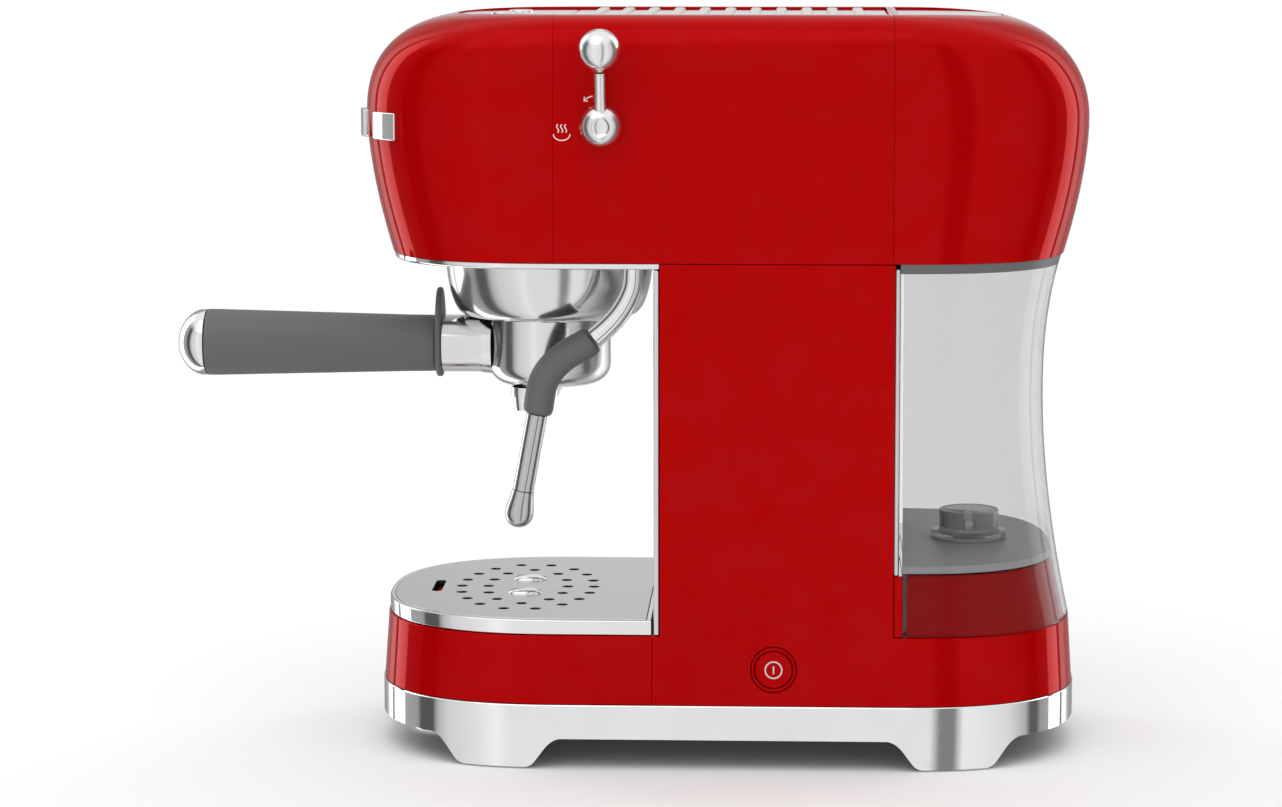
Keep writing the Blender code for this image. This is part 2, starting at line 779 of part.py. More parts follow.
def build_top_buttons(mats, buttons):
    r = BUTTON_RADIUS
    profile = [(0, 317.5), (r, 317.5), (r, 326.4), (r - 0.7, 327.1), (0, 327.3)]
    for (name, body), (x, y) in zip(buttons.items(), BUTTON_PLACES):
        turned(f"{name}_cap", profile, mats["chrome"], body, at=(x, y, 0), steps=16)


def build_badge(mats, machine):
    """Four plain chrome plaques on a thin strip that follows the head's front."""
    tip = head_tip(BADGE_Z, HEAD_TIP_FRONT, HEAD_BULGE_FRONT, CROWN_POWER_FRONT)

    def wrap(mesh_bm, start, end, steps, z_low, z_high, inner, outer):
        loops = []
        for i in range(steps + 1):
            angle = math.radians(start + (end - start) * i / steps)
            cosine, sine = math.cos(angle), math.sin(angle)
            across = math.copysign(abs(cosine) ** (2 / END_POWER), cosine)
            x = HALF_WIDTH * across
            y = -(HEAD_CENTER + (tip - HEAD_CENTER) * sine ** (2 / END_POWER))
            normal = Vector((
                math.copysign(abs(across) ** (END_POWER - 1), across) / HALF_WIDTH,
                -(sine ** (2 * (END_POWER - 1) / END_POWER)) / (tip - HEAD_CENTER),
                0,
            )).normalized()
            near = Vector((x, y, 0)) + normal * inner
            far = Vector((x, y, 0)) + normal * outer
            corners = ((near, z_low), (far, z_low), (far, z_high), (near, z_high))
            loops.append([Vector((point.x, point.y, z)) for point, z in corners])
        skin_loops(mesh_bm, loops)

    strip = bmesh.new()
    wrap(strip, 48.0, 132.0, 16, BADGE_Z - 2.5, BADGE_Z + 2.5, 0.6, 1.3)
    badge = add_object("badge", strip, mats["chrome"], machine)
    plaques = bmesh.new()
    for middle in (54.0, 78.0, 102.0, 126.0):
        wrap(plaques, middle - 7.0, middle + 7.0, 4, BADGE_Z - 6.0, BADGE_Z + 6.0, 0.4, 2.8)
    boolean(badge, add_object("add_plaques", plaques, None, machine), "UNION")


# ---------------------------------------------------------------- inside the casing

def build_chassis(mats, machine):
    """A folded steel sheet: upright in the column, with a shelf in the head over the group."""
    upright = (-22.0, -20.0)
    shelf = (224.0, 226.0)
    outline = [
        (upright[1], FLOOR_TOP + 2), (upright[1], shelf[0]), (40.0, shelf[0]), (40.0, shelf[1]),
        (-112.0, shelf[1]), (-112.0, shelf[0]), (upright[0], shelf[0]), (upright[0], FLOOR_TOP + 2),
    ]
    sheet = prism("chassis_frame", outline, -56.0, 38.0, "X", mats["steel"], machine)
    cutter = [(0, 215), (5, 215), (5, 235), (0, 235)]
    pipe_hole = turned("cut_chassis_pipe", cutter, None, machine, at=(0, GROUP_Y, 0), steps=16)
    boolean(sheet, pipe_hole, "DIFFERENCE")


def build_water_system(mats, machine):
    boxed("thermoblock", (-34, -112, 232), (34, -46, 262), mats["cast"], machine, bevel=3.0)
    tube("brew_pipe", [(0, GROUP_Y, 219.4), (0, GROUP_Y, 231.7)], 2.5, mats["brass"], machine, 1, 10)
    pump = [
        (0, 62), (9, 62), (9, 72), (20, 73), (20, 78), (17, 80),
        (17, 124), (20, 126), (20, 131), (8, 133), (8, 148), (0, 148),
    ]
    turned("pump", pump, mats["cast"], machine, at=(-25, 30, 0), steps=20)
    tube(
        "water_hose",
        [
            (0, VALVE_Y, 75), (0, VALVE_Y, 55), (-6, 92, 42), (-18, 55, 40),
            (-25, 32, 46), (-25, 30, 54), (-25, 30, 61.6),
        ],
        3.0,
        mats["hose"],
        machine,
    )
    tube(
        "pressure_hose",
        [
            (-25, 30, 148.4), (-25, 32, 165), (-30, 54, 222), (-42, 30, 243),
            (-52, -20, 249), (-50, -50, 248.5), (-42, -60, 248), (-34.4, -60, 248),
        ],
        2.5,
        mats["hose"],
        machine,
    )
    boxed("control_board", (54, 0, 85), (55.6, 62, 195), mats["board"], machine)
    seat_low, seat_top = PEDESTAL_TOP - 7.5, PEDESTAL_TOP - 0.1
    seat = [(6.0, seat_low), (9.2, seat_low), (9.2, seat_top), (6.0, seat_top)]
    turned("tank_seat", seat, mats["rubber"], machine, at=(0, VALVE_Y, 0), steps=20, closed=True)


def build_steam_valve(mats, machine):
    profile = [(4.6, 46), (9.0, 46), (9.0, 64), (6.5, 66), (6.5, 71.5), (4.6, 71.5)]
    turned(
        "steam_valve",
        profile,
        mats["brass"],
        machine,
        at=(0, LEVER_Y, LEVER_Z),
        axis=(1, 0, 0),
        steps=16,
        closed=True,
    )
    tube(
        "steam_hose",
        [(34.4, -70, 252), (40, -70, 252), (48, -64, 256), (52, -54, 264), (52, -53, 271.4)],
        2.2,
        mats["hose"],
        machine,
    )


# ---------------------------------------------------------------- tank

def build_tank(mats, tank):
    floor_low, floor_high = TANK_FLOOR
    upper = (115.0, 138.0, TANK_WAIST_Z, 180.0, 200.0)
    levels = (BAND_TOP + GAP, 75.0, floor_low, *upper, TANK_TOP)

    def walls(name, inset, zs, material):
        loops = [rear_outline(HALF_WIDTH - inset, TANK_FRONT + inset, tank_tip(z) - inset, z) for z in zs]
        return lofted(name, loops, material, tank)

    shell = walls("water_tank", 0.0, levels, mats["tank"])
    room = walls("cut_tank_room", WALL, (floor_high, *upper, TANK_TOP + 3), None)
    boolean(shell, room, "DIFFERENCE")
    skirt_room = walls("cut_tank_skirt", WALL, (BAND_TOP - 3, 75.0, floor_low), None)
    boolean(shell, skirt_room, "DIFFERENCE")
    hole = turned(
        "cut_tank_hole", [(0, 84), (5.8, 84), (5.8, 96), (0, 96)], None, tank, at=(0, VALVE_Y, 0), steps=16
    )
    boolean(shell, hole, "DIFFERENCE")
    ledge = floor_high + 3.0
    valve = [
        (0, 83.0), (4.0, 83.0), (5.5, 84.5), (5.5, floor_high + GAP), (17.0, floor_high + GAP),
        (17.0, ledge), (13.5, ledge + 0.8), (13.5, 103.2), (11.5, 103.2), (11.5, ledge + 2.0),
        (0, ledge + 2.0),
    ]
    turned("tank_valve", valve, mats["grey"], tank, at=(0, VALVE_Y, 0), steps=20)


# ---------------------------------------------------------------- group and portafilter

def build_group(mats, machine):
    """Chrome bowl that hangs from the head, bored for the portafilter, with its seal and screen."""
    turn = math.radians(90)
    drop = BOWL_TOP - BOWL_BOTTOM
    flat = 36.5
    skirt = []
    for i in range(9):
        angle = turn * i / 8
        radius = flat + (BOWL_RADIUS - flat) * math.cos(angle) ** 0.8 if i < 8 else flat
        skirt.append((radius, BOWL_TOP - 2 - (drop - 2) * math.sin(angle) ** 1.25))
    ceiling = 214.0
    profile = [
        (0, BOWL_TOP), (BOWL_RADIUS, BOWL_TOP), *skirt,
        (GROUP_BORE, BOWL_BOTTOM), (GROUP_BORE, ceiling), (0, ceiling),
    ]
    turned("group_bowl", profile, mats["chrome"], machine, at=(0, GROUP_Y, 0), steps=32)
    gasket = [(26.2, 204.5), (31.6, 204.5), (31.6, 211.5), (26.2, 211.5)]
    turned("group_gasket", gasket, mats["rubber"], machine, at=(0, GROUP_Y, 0), closed=True)
    screen = [(2.4, 207.0), (25.6, 207.0), (25.6, 210.0), (24.8, 210.0), (24.8, 208.0), (2.4, 208.0)]
    turned("shower_screen", screen, mats["steel"], machine, at=(0, GROUP_Y, 0), closed=True)
    screw = [(0, 205.2), (3.6, 205.2), (3.6, 206.7), (2.0, 206.7), (2.0, 213.7), (0, 213.7)]
    turned("shower_screw", screw, mats["steel"], machine, at=(0, GROUP_Y, 0), steps=12)


def build_portafilter(mats, portafilter):
    center = (0, GROUP_Y, 0)
    bore = FILTER_RADIUS - 2.2
    floor = FILTER_BOTTOM + 4
    profile = [
        (3.0, FILTER_BOTTOM), (18.0, FILTER_BOTTOM), (23.5, FILTER_BOTTOM + 1.4),
        (26.4, FILTER_BOTTOM + 4.6), (FILTER_RADIUS, FILTER_BOTTOM + 9), (FILTER_RADIUS, FILTER_TOP),
        (bore, FILTER_TOP), (bore, floor + 3), (bore - 3, floor), (3.0, floor),
    ]
    bowl = turned("portafilter_bowl", profile, mats["chrome"], portafilter, at=center, steps=32, closed=True)
    lugs = bmesh.new()
    for side in (1, -1):
        inner, outer = (bore + 1) * side, 30.8 * side
        loops = [
            [Vector((x, GROUP_Y + y, z)) for x, y in ((inner, -7), (outer, -6), (outer, 6), (inner, 7))]
            for z in (196.5, 200.5)
        ]
        skin_loops(lugs, loops)
    boolean(bowl, add_object("add_lugs", lugs, None, portafilter), "UNION")
    neck_start = bore + 0.6
    neck_length = GROUP_Y - NECK_END
    neck = [
        (0, neck_start), (11.8, neck_start), (11.8, neck_start + 4.5), (NECK_RADIUS, neck_start + 5.0),
        (NECK_RADIUS, neck_length), (0, neck_length),
    ]
    arm = turned(
        "add_neck", neck, None, portafilter, at=(0, GROUP_Y, HANDLE_Z), axis=(0, -1, 0), steps=20
    )
    boolean(bowl, arm, "UNION")
    basket = [
        (0, 181.0), (23.4, 181.0), (24.6, 182.2), (24.6, FILTER_TOP + GAP), (27.2, FILTER_TOP + GAP),
        (27.2, 204.1), (23.9, 204.1), (23.9, 182.6), (23.0, 181.8), (0, 181.8),
    ]
    turned("filter_basket", basket, mats["steel"], portafilter, at=center)


def build_handle(mats, portafilter):
    front, back = GUARD
    outline = []
    for i in range(24):
        angle = 2 * math.pi * i / 24
        tall = 25.4 if math.sin(angle) > 0 else 15.1
        outline.append((15.0 * math.cos(angle), HANDLE_Z + tall * math.sin(angle)))
    prism("hand_guard", outline, front, back, "Y", mats["grey"], portafilter)
    near, far = GRIP_RADII
    start = -(front - GAP)
    end = -GRIP_END
    grip = [(0, start), (near, start), (near + 0.1, start + 4), (far, end - 8), (far, end), (0, end)]
    turned("handle_grip", grip, mats["grey"], portafilter, at=(0, 0, HANDLE_Z), axis=(0, -1, 0))
    dome = []
    length = -HANDLE_TIP - end - GAP
    for i in range(7):
        angle = math.radians(90) * i / 6
        dome.append((far * math.cos(angle) if i < 6 else 0.0, end + GAP + length * math.sin(angle) ** 1.1))
    cap = [(0, end + GAP), *dome]
    turned("handle_cap", cap, mats["chrome"], portafilter, at=(0, 0, HANDLE_Z), axis=(0, -1, 0))


def build_spout(mats, portafilter):
    """Two nozzles side by side under the bowl, joined by a bridge with the drain in it."""
    top = FILTER_BOTTOM - GAP
    bridge_low = 155.5
    spout_x = 13.0
    spout_y = -90.6
    bridge = bmesh.new()
    outline = []
    for i in range(24):
        angle = 2 * math.pi * i / 24
        shift = spout_x if math.cos(angle) > 0 else -spout_x
        outline.append((shift + 7 * math.cos(angle), spout_y + 4.0 + 10.5 * math.sin(angle)))
    skin_loops(bridge, [[Vector((x, y, z)) for x, y in outline] for z in (bridge_low, top)])
    spout = add_object("twin_spout", bridge, mats["chrome"], portafilter)
    nozzles = bmesh.new()
    bores = bmesh.new()
    for x in (spout_x, -spout_x):
        place = Matrix.Translation((x, spout_y, 0))
        turn_profile(nozzles, [(0, 149.3), (5.2, 149.3), (6.2, 157.0), (0, 157.0)], 16, place, False)
        turn_profile(bores, [(0, 140.0), (3.2, 140.0), (3.2, 170.0), (0, 170.0)], 10, place, False)
    boolean(spout, add_object("add_nozzles", nozzles, None, portafilter), "UNION")
    boolean(spout, add_object("cut_nozzles", bores, None, portafilter), "DIFFERENCE")


# ---------------------------------------------------------------- steam

def build_wand(mats, wand):
    radius = WAND_BALL_RADIUS
    ball = [(0, WAND_BALL_Z - radius)]
    for i in range(1, 9):
        angle = math.radians(180) * i / 9
        ball.append((radius * math.sin(angle), WAND_BALL_Z - radius * math.cos(angle)))
    ball.append((0, WAND_BALL_Z + radius))
    turned("wand_joint", ball, mats["chrome"], wand, at=(WAND_X, WAND_Y, 0), steps=14)
    route = [
        (WAND_Y, 217.8), (-41.2, 207.5), (-47.4, 196.4), (-58.5, 185.9),
        (-71.3, 178.0), (-79.5, 168.2), (-82.6, 153.4),
    ]
    steps = 4
    path = smooth_path([(WAND_X, y, z) for y, z in route], steps)
    split = 3 * steps
    tube_along("wand_upper_tube", path[:split], WAND_TUBE_RADIUS, mats["chrome"], wand)
    tube_along("wand_grip", path[split:], WAND_GRIP_RADIUS, mats["grey"], wand)
    start = Vector((WAND_X, -82.7, 153.0))
    tip = Vector((WAND_X, -92.0, 102.7))
    ahead = (tip - start).normalized()
    length = (tip - start).length
    joint = length - 17.5
    lower = [(0, 0), (WAND_TUBE_RADIUS, 0), (WAND_TUBE_RADIUS, joint - GAP), (0, joint - GAP)]
    turned("wand_lower_tube", lower, mats["steel"], wand, at=start, axis=ahead, steps=16)
    nozzle = [
        (0, joint), (WAND_TUBE_RADIUS, joint), (WAND_TUBE_RADIUS + 0.3, joint + 3), (6.0, joint + 8.5),
        (6.5, joint + 12), (6.0, joint + 15), (4.2, length), (0, length),
    ]
    turned("wand_nozzle", nozzle, mats["steel"], wand, at=start, axis=ahead, steps=16)


def build_lever(mats, lever):
    """Chrome casting with a domed boss, a spindle into the valve and an arm up to the ball."""
    pivot = (0, LEVER_Y, LEVER_Z)
    boss = [
        (0, 50), (4.0, 50), (4.0, 75.4), (7.7, 75.5), (7.7, 79.5),
        (7.0, 83.0), (5.2, 85.6), (2.6, 87.0), (0, 87.3),
    ]
    hub = turned("lever_hub", boss, mats["chrome"], lever, at=pivot, axis=(1, 0, 0), steps=20)
    foot = Vector((81.0, LEVER_Y, LEVER_Z + 1.0))
    ball = Vector(KNOB_CENTER)
    reach = (ball - foot).length - KNOB_RADIUS - GAP
    arm = turned(
        "add_lever_arm", [(0, 0), (3.4, 0), (2.8, 8), (2.8, reach), (0, reach)], None, lever, at=foot,
        axis=(ball - foot).normalized(), steps=12,
    )
    boolean(hub, arm, "UNION")
    steps = 10
    sphere = [(0, -KNOB_RADIUS)]
    for i in range(1, steps):
        angle = math.pi * i / steps
        sphere.append((KNOB_RADIUS * math.sin(angle), -KNOB_RADIUS * math.cos(angle)))
    sphere.append((0, KNOB_RADIUS))
    turned("lever_knob", sphere, mats["chrome"], lever, at=KNOB_CENTER, axis=(1, 0, 0), steps=20)


def build_power_button(mats, machine, button):
    place = (0, POWER_Y, POWER_Z)
    bezel = [(8.5, 70.0), (9.8, 70.0), (9.8, 76.2), (9.4, 76.6), (8.9, 76.6), (8.5, 76.2)]
    turned("power_bezel", bezel, mats["red"], machine, at=place, axis=(1, 0, 0), closed=True)
    cap = [(0, 67.0), (POWER_RADIUS, 67.0), (POWER_RADIUS, 75.7), (POWER_RADIUS - 0.5, 76.3), (0, 76.5)]
    turned("power_cap", cap, mats["red"], button, at=place, axis=(1, 0, 0))


# ---------------------------------------------------------------- drip tray

def hollow_tray(name, outer, inner_levels, inset, mats_key, mats, body):
    """An open tray whose walls follow the base's front."""
    loops = [front_outline(width, tip, TRAY_BACK, z) for width, tip, z in outer]
    tray = lofted(name, loops, mats[mats_key], body)
    room = lofted(
        f"cut_{name}_room",
        [front_outline(width - inset, tip - inset, TRAY_BACK - inset, z) for width, tip, z in inner_levels],
        None,
        body,
    )
    boolean(tray, room, "DIFFERENCE")


def build_tray(mats, tray):
    hollow_tray(
        "tray_shell",
        [
            (BAND_HALF_WIDTH, BAND_TIP, BAND_BOTTOM),
            (HALF_WIDTH + 0.1, BAND_TOP_TIP - 0.1, BAND_TOP - 0.5),
            (HALF_WIDTH - 0.4, BAND_TOP_TIP - 0.6, BAND_TOP),
        ],
        [
            (BAND_HALF_WIDTH, BAND_TIP, BAND_BOTTOM + 2),
            (HALF_WIDTH, BAND_TOP_TIP - 0.4, BAND_TOP + 2),
        ],
        2.0,
        "red",
        mats,
        tray,
    )
    basin = lofted(
        "tray_basin",
        [
            front_outline(HALF_WIDTH - BASIN_INSET, BASIN_TIP, TRAY_BACK - BASIN_INSET, z)
            for z in (BAND_BOTTOM + 3, GRATE[0] - GAP)
        ],
        mats["black"],
        tray,
    )
    basin_wall = 1.8
    room_inset = BASIN_INSET + basin_wall
    basin_room = lofted(
        "cut_basin_room",
        [
            front_outline(HALF_WIDTH - room_inset, BASIN_TIP - basin_wall, TRAY_BACK - room_inset, z)
            for z in (BAND_BOTTOM + 5, GRATE[0] + 3)
        ],
        None,
        tray,
    )
    boolean(basin, basin_room, "DIFFERENCE")
    rim_bottom = BAND_TOP + GAP
    rim_low = rim_bottom + 0.6
    rim_tip = BAND_TOP_TIP - 0.7
    inner = BASIN_INSET - GAP
    rim_loops = [
        front_outline(HALF_WIDTH - 0.5, rim_tip - 0.3, TRAY_BACK - 0.3, rim_bottom),
        front_outline(HALF_WIDTH - 0.2, rim_tip, TRAY_BACK - 0.3, rim_low),
        front_outline(HALF_WIDTH - 0.2, rim_tip, TRAY_BACK - 0.3, RIM_TOP - 0.5),
        front_outline(HALF_WIDTH - 0.7, rim_tip - 0.5, TRAY_BACK - 0.6, RIM_TOP),
        front_outline(HALF_WIDTH - inner, BASIN_TIP + GAP, TRAY_BACK - inner, RIM_TOP),
        front_outline(HALF_WIDTH - inner, BASIN_TIP + GAP, TRAY_BACK - inner, rim_bottom),
    ]
    lofted("tray_rim", rim_loops, mats["chrome"], tray, ring=True)


def oval_ring_points(count, across, along):
    """Evenly spaced points on an oval, the first one at its front tip."""
    samples = 720
    ring = []
    for i in range(samples + 1):
        angle = 2 * math.pi * i / samples
        ring.append(Vector((across * math.sin(angle), RING_CENTER_Y - along * math.cos(angle))))
    lengths = [0.0]
    for a, b in zip(ring, ring[1:]):
        lengths.append(lengths[-1] + (b - a).length)
    places = []
    for k in range(count):
        wanted = lengths[-1] * k / count
        index = min(range(len(lengths)), key=lambda i: abs(lengths[i] - wanted))
        places.append(ring[index])
    return places


def slot_outline(half_long, half_short, steps=6):
    """A slot with round ends that runs across the machine."""
    points = []
    for side in (1, -1):
        for i in range(steps + 1):
            angle = math.radians(-90 + 180 * i / steps) + (0 if side > 0 else math.pi)
            points.append((
                side * (half_long - half_short) + half_short * math.cos(angle),
                half_short * math.sin(angle),
            ))
    return points


def build_grate(mats, grate):
    edge = 0.4
    levels = ((0.0, GRATE[0]), (0.0, GRATE[1] - edge), (edge, GRATE[1]))
    plate = lofted(
        "tray_grate",
        [
            front_outline(
                HALF_WIDTH - BASIN_INSET - inset, BASIN_TIP - inset, TRAY_BACK - BASIN_INSET - inset, z
            )
            for inset, z in levels
        ],
        mats["steel"],
        grate,
    )
    holes = bmesh.new()
    profile = [(0, 60), (HOLE_RADIUS, 60), (HOLE_RADIUS, 70), (0, 70)]
    for count, across, along in (OUTER_RING, INNER_RING):
        for place in oval_ring_points(count, across, along):
            turn_profile(holes, profile, 10, Matrix.Translation((place.x, place.y, 0)), False)
    drain = slot_outline(5.6, 2.4)
    for x in (16.0, -16.0):
        loops = [[Vector((x + b, RING_CENTER_Y + a, z)) for a, b in drain] for z in (60, 70)]
        skin_loops(holes, loops)
    float_slot = slot_outline(13.0, 2.3)
    skin_loops(holes, [[Vector((a, FLOAT_Y + b, z)) for a, b in float_slot] for z in (60, 70)])
    boolean(plate, add_object("cut_grate_holes", holes, None, grate), "DIFFERENCE")


def build_float(mats, tray_float):
    low = (-10.5, FLOAT_Y - 1.7, 35.0)
    high = (10.5, FLOAT_Y + 1.7, 63.2)
    boxed("tray_float", low, high, mats["red"], tray_float, bevel=0.8)


# ---------------------------------------------------------------- the whole machine

def main():
    clear_scene()
    mats = make_materials()
    machine = make_body("machine")
    machine.location = -MACHINE_CENTER * MM
    portafilter = make_body("portafilter_axis", (0.0, GROUP_Y, HANDLE_Z), machine)
    wand = make_body("wand_axis", (WAND_X, WAND_Y, WAND_BALL_Z), machine)
    lever = make_body("lever_axis", (HALF_WIDTH, LEVER_Y, LEVER_Z), machine)
    power = make_body("power_axis", (HALF_WIDTH, POWER_Y, POWER_Z), machine)
    tank = make_body("tank_axis", (0.0, VALVE_Y, BAND_TOP), machine)
    tank_lid = make_body("lid_axis", (0.0, VALVE_Y, HEAD_BOTTOM), tank)
    tray = make_body("tray_axis", (0.0, TRAY_SPLIT, BAND_BOTTOM), machine)
    grate = make_body("grate_axis", (0.0, RING_CENTER_Y, GRATE[0]), tray)
    tray_float = make_body("float_axis", (0.0, FLOAT_Y, GRATE[0]), tray)
    names = ("one_cup_button", "two_cup_button", "steam_button")
    buttons = {}
    for name, (x, y) in zip(names, BUTTON_PLACES):
        buttons[name] = make_body(f"{name}_axis", (x, y, PLATE_Z[1]), machine)

    build_base_skirt(mats, machine)
    build_feet(mats, machine)
    build_base_floor(mats, machine)
    build_body_shell(mats, machine)
    build_cord_gland(mats, machine)
    build_column_trim(mats, machine)
    build_head(mats, machine, tank_lid)
    build_underplate(mats, machine)
    build_top_plates(mats, machine, tank_lid)
    build_top_buttons(mats, buttons)
    build_badge(mats, machine)
    build_chassis(mats, machine)
    build_water_system(mats, machine)
    build_steam_valve(mats, machine)
    build_tank(mats, tank)
    build_group(mats, machine)
    build_portafilter(mats, portafilter)
    build_handle(mats, portafilter)
    build_spout(mats, portafilter)
    build_wand(mats, wand)
    build_lever(mats, lever)
    build_power_button(mats, machine, power)
    build_tray(mats, tray)
    build_grate(mats, grate)
    build_float(mats, tray_float)
    bpy.context.view_layer.update()


main()
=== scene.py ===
import math
import json

import bmesh
import bpy
from mathutils import Matrix, Vector


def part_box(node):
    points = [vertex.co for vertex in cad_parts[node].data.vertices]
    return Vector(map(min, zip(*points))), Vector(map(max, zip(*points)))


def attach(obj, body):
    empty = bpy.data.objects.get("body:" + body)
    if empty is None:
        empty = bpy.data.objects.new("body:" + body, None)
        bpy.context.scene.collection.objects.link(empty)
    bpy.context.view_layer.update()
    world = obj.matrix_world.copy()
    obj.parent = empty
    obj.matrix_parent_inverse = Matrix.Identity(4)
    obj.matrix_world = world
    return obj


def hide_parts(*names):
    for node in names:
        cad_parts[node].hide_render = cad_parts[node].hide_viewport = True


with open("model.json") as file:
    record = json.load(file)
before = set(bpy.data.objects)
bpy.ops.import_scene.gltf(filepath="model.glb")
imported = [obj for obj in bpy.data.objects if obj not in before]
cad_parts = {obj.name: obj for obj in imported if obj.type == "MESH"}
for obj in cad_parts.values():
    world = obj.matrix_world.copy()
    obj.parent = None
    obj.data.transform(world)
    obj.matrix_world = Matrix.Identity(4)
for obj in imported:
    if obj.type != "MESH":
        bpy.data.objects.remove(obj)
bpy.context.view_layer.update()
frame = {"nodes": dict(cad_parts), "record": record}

# Lengths are millimetres in the machine's own frame (X across with the lever on +X, -Y the front,
# Z up from the worktop), and MM turns them into the frame's metres. The base skirt is the same at
# its front and rear and on both sides, so its centre is the machine frame's origin.
MM = 0.001
skirt_low, skirt_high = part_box("base_skirt")
ORIGIN = Vector(((skirt_low.x + skirt_high.x) / 2, (skirt_low.y + skirt_high.y) / 2, 0.0))


def box_mm(node):
    """A CAD node's lowest and highest corners in machine millimetres."""
    low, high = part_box(node)
    return (low - ORIGIN) / MM, (high - ORIGIN) / MM


SKIRT = box_mm("base_skirt")
SHELL = box_mm("body_shell")
TRAY = box_mm("tray_shell")
RIM = box_mm("tray_rim")
GRATE = box_mm("tray_grate")
FRONT_COVER = box_mm("head_front_cover")
MIDDLE_COVER = box_mm("head_middle_cover")
LID = box_mm("tank_lid")
CONTROL_PLATE = box_mm("control_plate")
CUP_PLATE = box_mm("cup_plate")
LID_PLATE = box_mm("lid_plate")
PANEL = box_mm("column_front_panel")
TANK = box_mm("water_tank")
BOWL = box_mm("group_bowl")
FILTER = box_mm("portafilter_bowl")
GUARD = box_mm("hand_guard")
GRIP = box_mm("handle_grip")
CAP = box_mm("handle_cap")
SPOUT = box_mm("twin_spout")
BALL = box_mm("wand_joint")
KNOB = box_mm("lever_knob")
POWER = box_mm("power_cap")
BEZEL = box_mm("power_bezel")
UNDERPLATE = box_mm("head_underplate")
FLOAT = box_mm("tray_float")

# ---- forms that a node's box doesn't give ----
END_POWER = 2.5
END_CENTER = 70.6
HALF_WIDTH = MIDDLE_COVER[1].x
HEAD_BOTTOM = FRONT_COVER[0].z
HEAD_TOP = FRONT_COVER[1].z
HEAD_CENTER = 75.0
HEAD_SHOULDER = 18.0
HEAD_CROWN = 55.0
BULGE_FRONT = 283.0
BULGE_REAR = 280.0
LEAN = 0.0130
LEAN_POWER = 1.65
CROWN_POWER_FRONT = 2.4
CROWN_POWER_REAR = 2.2
HEAD_WALL = 2.6
SHELL_WALL = 2.5
PLATE_FLOOR = CUP_PLATE[0].z - 0.3
POCKET_CLEARANCE = 0.5
TANK_WAIST_Z = 160.0
TANK_WAIST_Y = 141.1
TANK_FLARE_UP = (7.6, 61.0, 2.4)
TANK_FLARE_DOWN = (12.4, 101.0, 1.8)
GROUP_Y = (BOWL[0].y + BOWL[1].y) / 2
HANDLE_Z = (CAP[0].z + CAP[1].z) / 2
WAND_X = (BALL[0].x + BALL[1].x) / 2
WAND_Y = (BALL[0].y + BALL[1].y) / 2
LEVER_Y = (KNOB[0].y + KNOB[1].y) / 2
LEVER_Z = 281.0
POWER_Y = (POWER[0].y + POWER[1].y) / 2
POWER_Z = (POWER[0].z + POWER[1].z) / 2
FAR = 200.0                 # past every side of the machine
SEAM = 0.14                 # shown between covers, finer than the CAD's clearance
BUTTON_HOLE = 6.4
SKIRT_EDGE = 13.6           # height of the skirt's lower edge between the feet
BAND_TOP = TRAY[1].z
COLUMN_FRONT = -28.1
COLUMN_REAR = 73.1
PEDESTAL_TOP = 86.5
PEDESTAL_FRONT = 79.0
TANK_WALL = 1.6
# height of the dark grey band at the tank's top, painted shade under the lid
TANK_SHADE_BAND = 1.8
TANK_FLOOR = (87.0, 90.5)
VALVE = box_mm("tank_valve")
VALVE_Y = (VALVE[0].y + VALVE[1].y) / 2
CORD_PLACE = (-50.0, 141.4, 40.0)
CORD_AXIS = (-0.608, 0.794, 0.0)


# ---------------------------------------------------------------- materials

def new_material(name, color, roughness, metallic=0.0):
    material = bpy.data.materials.new(name)
    material.use_nodes = True
    shader = material.node_tree.nodes["Principled BSDF"]
    shader.inputs["Base Color"].default_value = (*color, 1.0)
    shader.inputs["Roughness"].default_value = roughness
    shader.inputs["Metallic"].default_value = metallic
    return material, material.node_tree, shader


def object_noise(tree, scale, stretch=(1.0, 1.0, 1.0), detail=3.0, roughness=0.5):
    """Noise in the object's own space: scale is per metre, so 1000 gives features of about 1 mm."""
    place = tree.nodes.new("ShaderNodeTexCoord")
    mapping = tree.nodes.new("ShaderNodeMapping")
    mapping.inputs["Scale"].default_value = stretch
    noise = tree.nodes.new("ShaderNodeTexNoise")
    noise.inputs["Scale"].default_value = scale
    noise.inputs["Detail"].default_value = detail
    noise.inputs["Roughness"].default_value = roughness
    tree.links.new(place.outputs["Object"], mapping.inputs["Vector"])
    tree.links.new(mapping.outputs["Vector"], noise.inputs["Vector"])
    return noise.outputs["Fac"]


def vary(tree, source, low, high, target):
    """Spreads a noise over a range of numbers and feeds it to a socket."""
    spread = tree.nodes.new("ShaderNodeMapRange")
    spread.inputs["From Min"].default_value = 0.3
    spread.inputs["From Max"].default_value = 0.7
    spread.inputs["To Min"].default_value = low
    spread.inputs["To Max"].default_value = high
    tree.links.new(source, spread.inputs["Value"])
    tree.links.new(spread.outputs["Result"], target)


def tint(tree, source, color_a, color_b, target):
    """Mixes two close colours by a noise."""
    ramp = tree.nodes.new("ShaderNodeValToRGB")
    ramp.color_ramp.elements[0].position = 0.35
    ramp.color_ramp.elements[1].position = 0.65
    ramp.color_ramp.elements[0].color = (*color_a, 1.0)
    ramp.color_ramp.elements[1].color = (*color_b, 1.0)
    tree.links.new(source, ramp.inputs["Fac"])
    tree.links.new(ramp.outputs["Color"], target)


def bump(tree, source, shader, strength, distance):
    """Relief of a given depth in millimetres."""
    relief = tree.nodes.new("ShaderNodeBump")
    relief.inputs["Strength"].default_value = strength
    relief.inputs["Distance"].default_value = distance * MM
    tree.links.new(source, relief.inputs["Height"])
    tree.links.new(relief.outputs["Normal"], shader.inputs["Normal"])


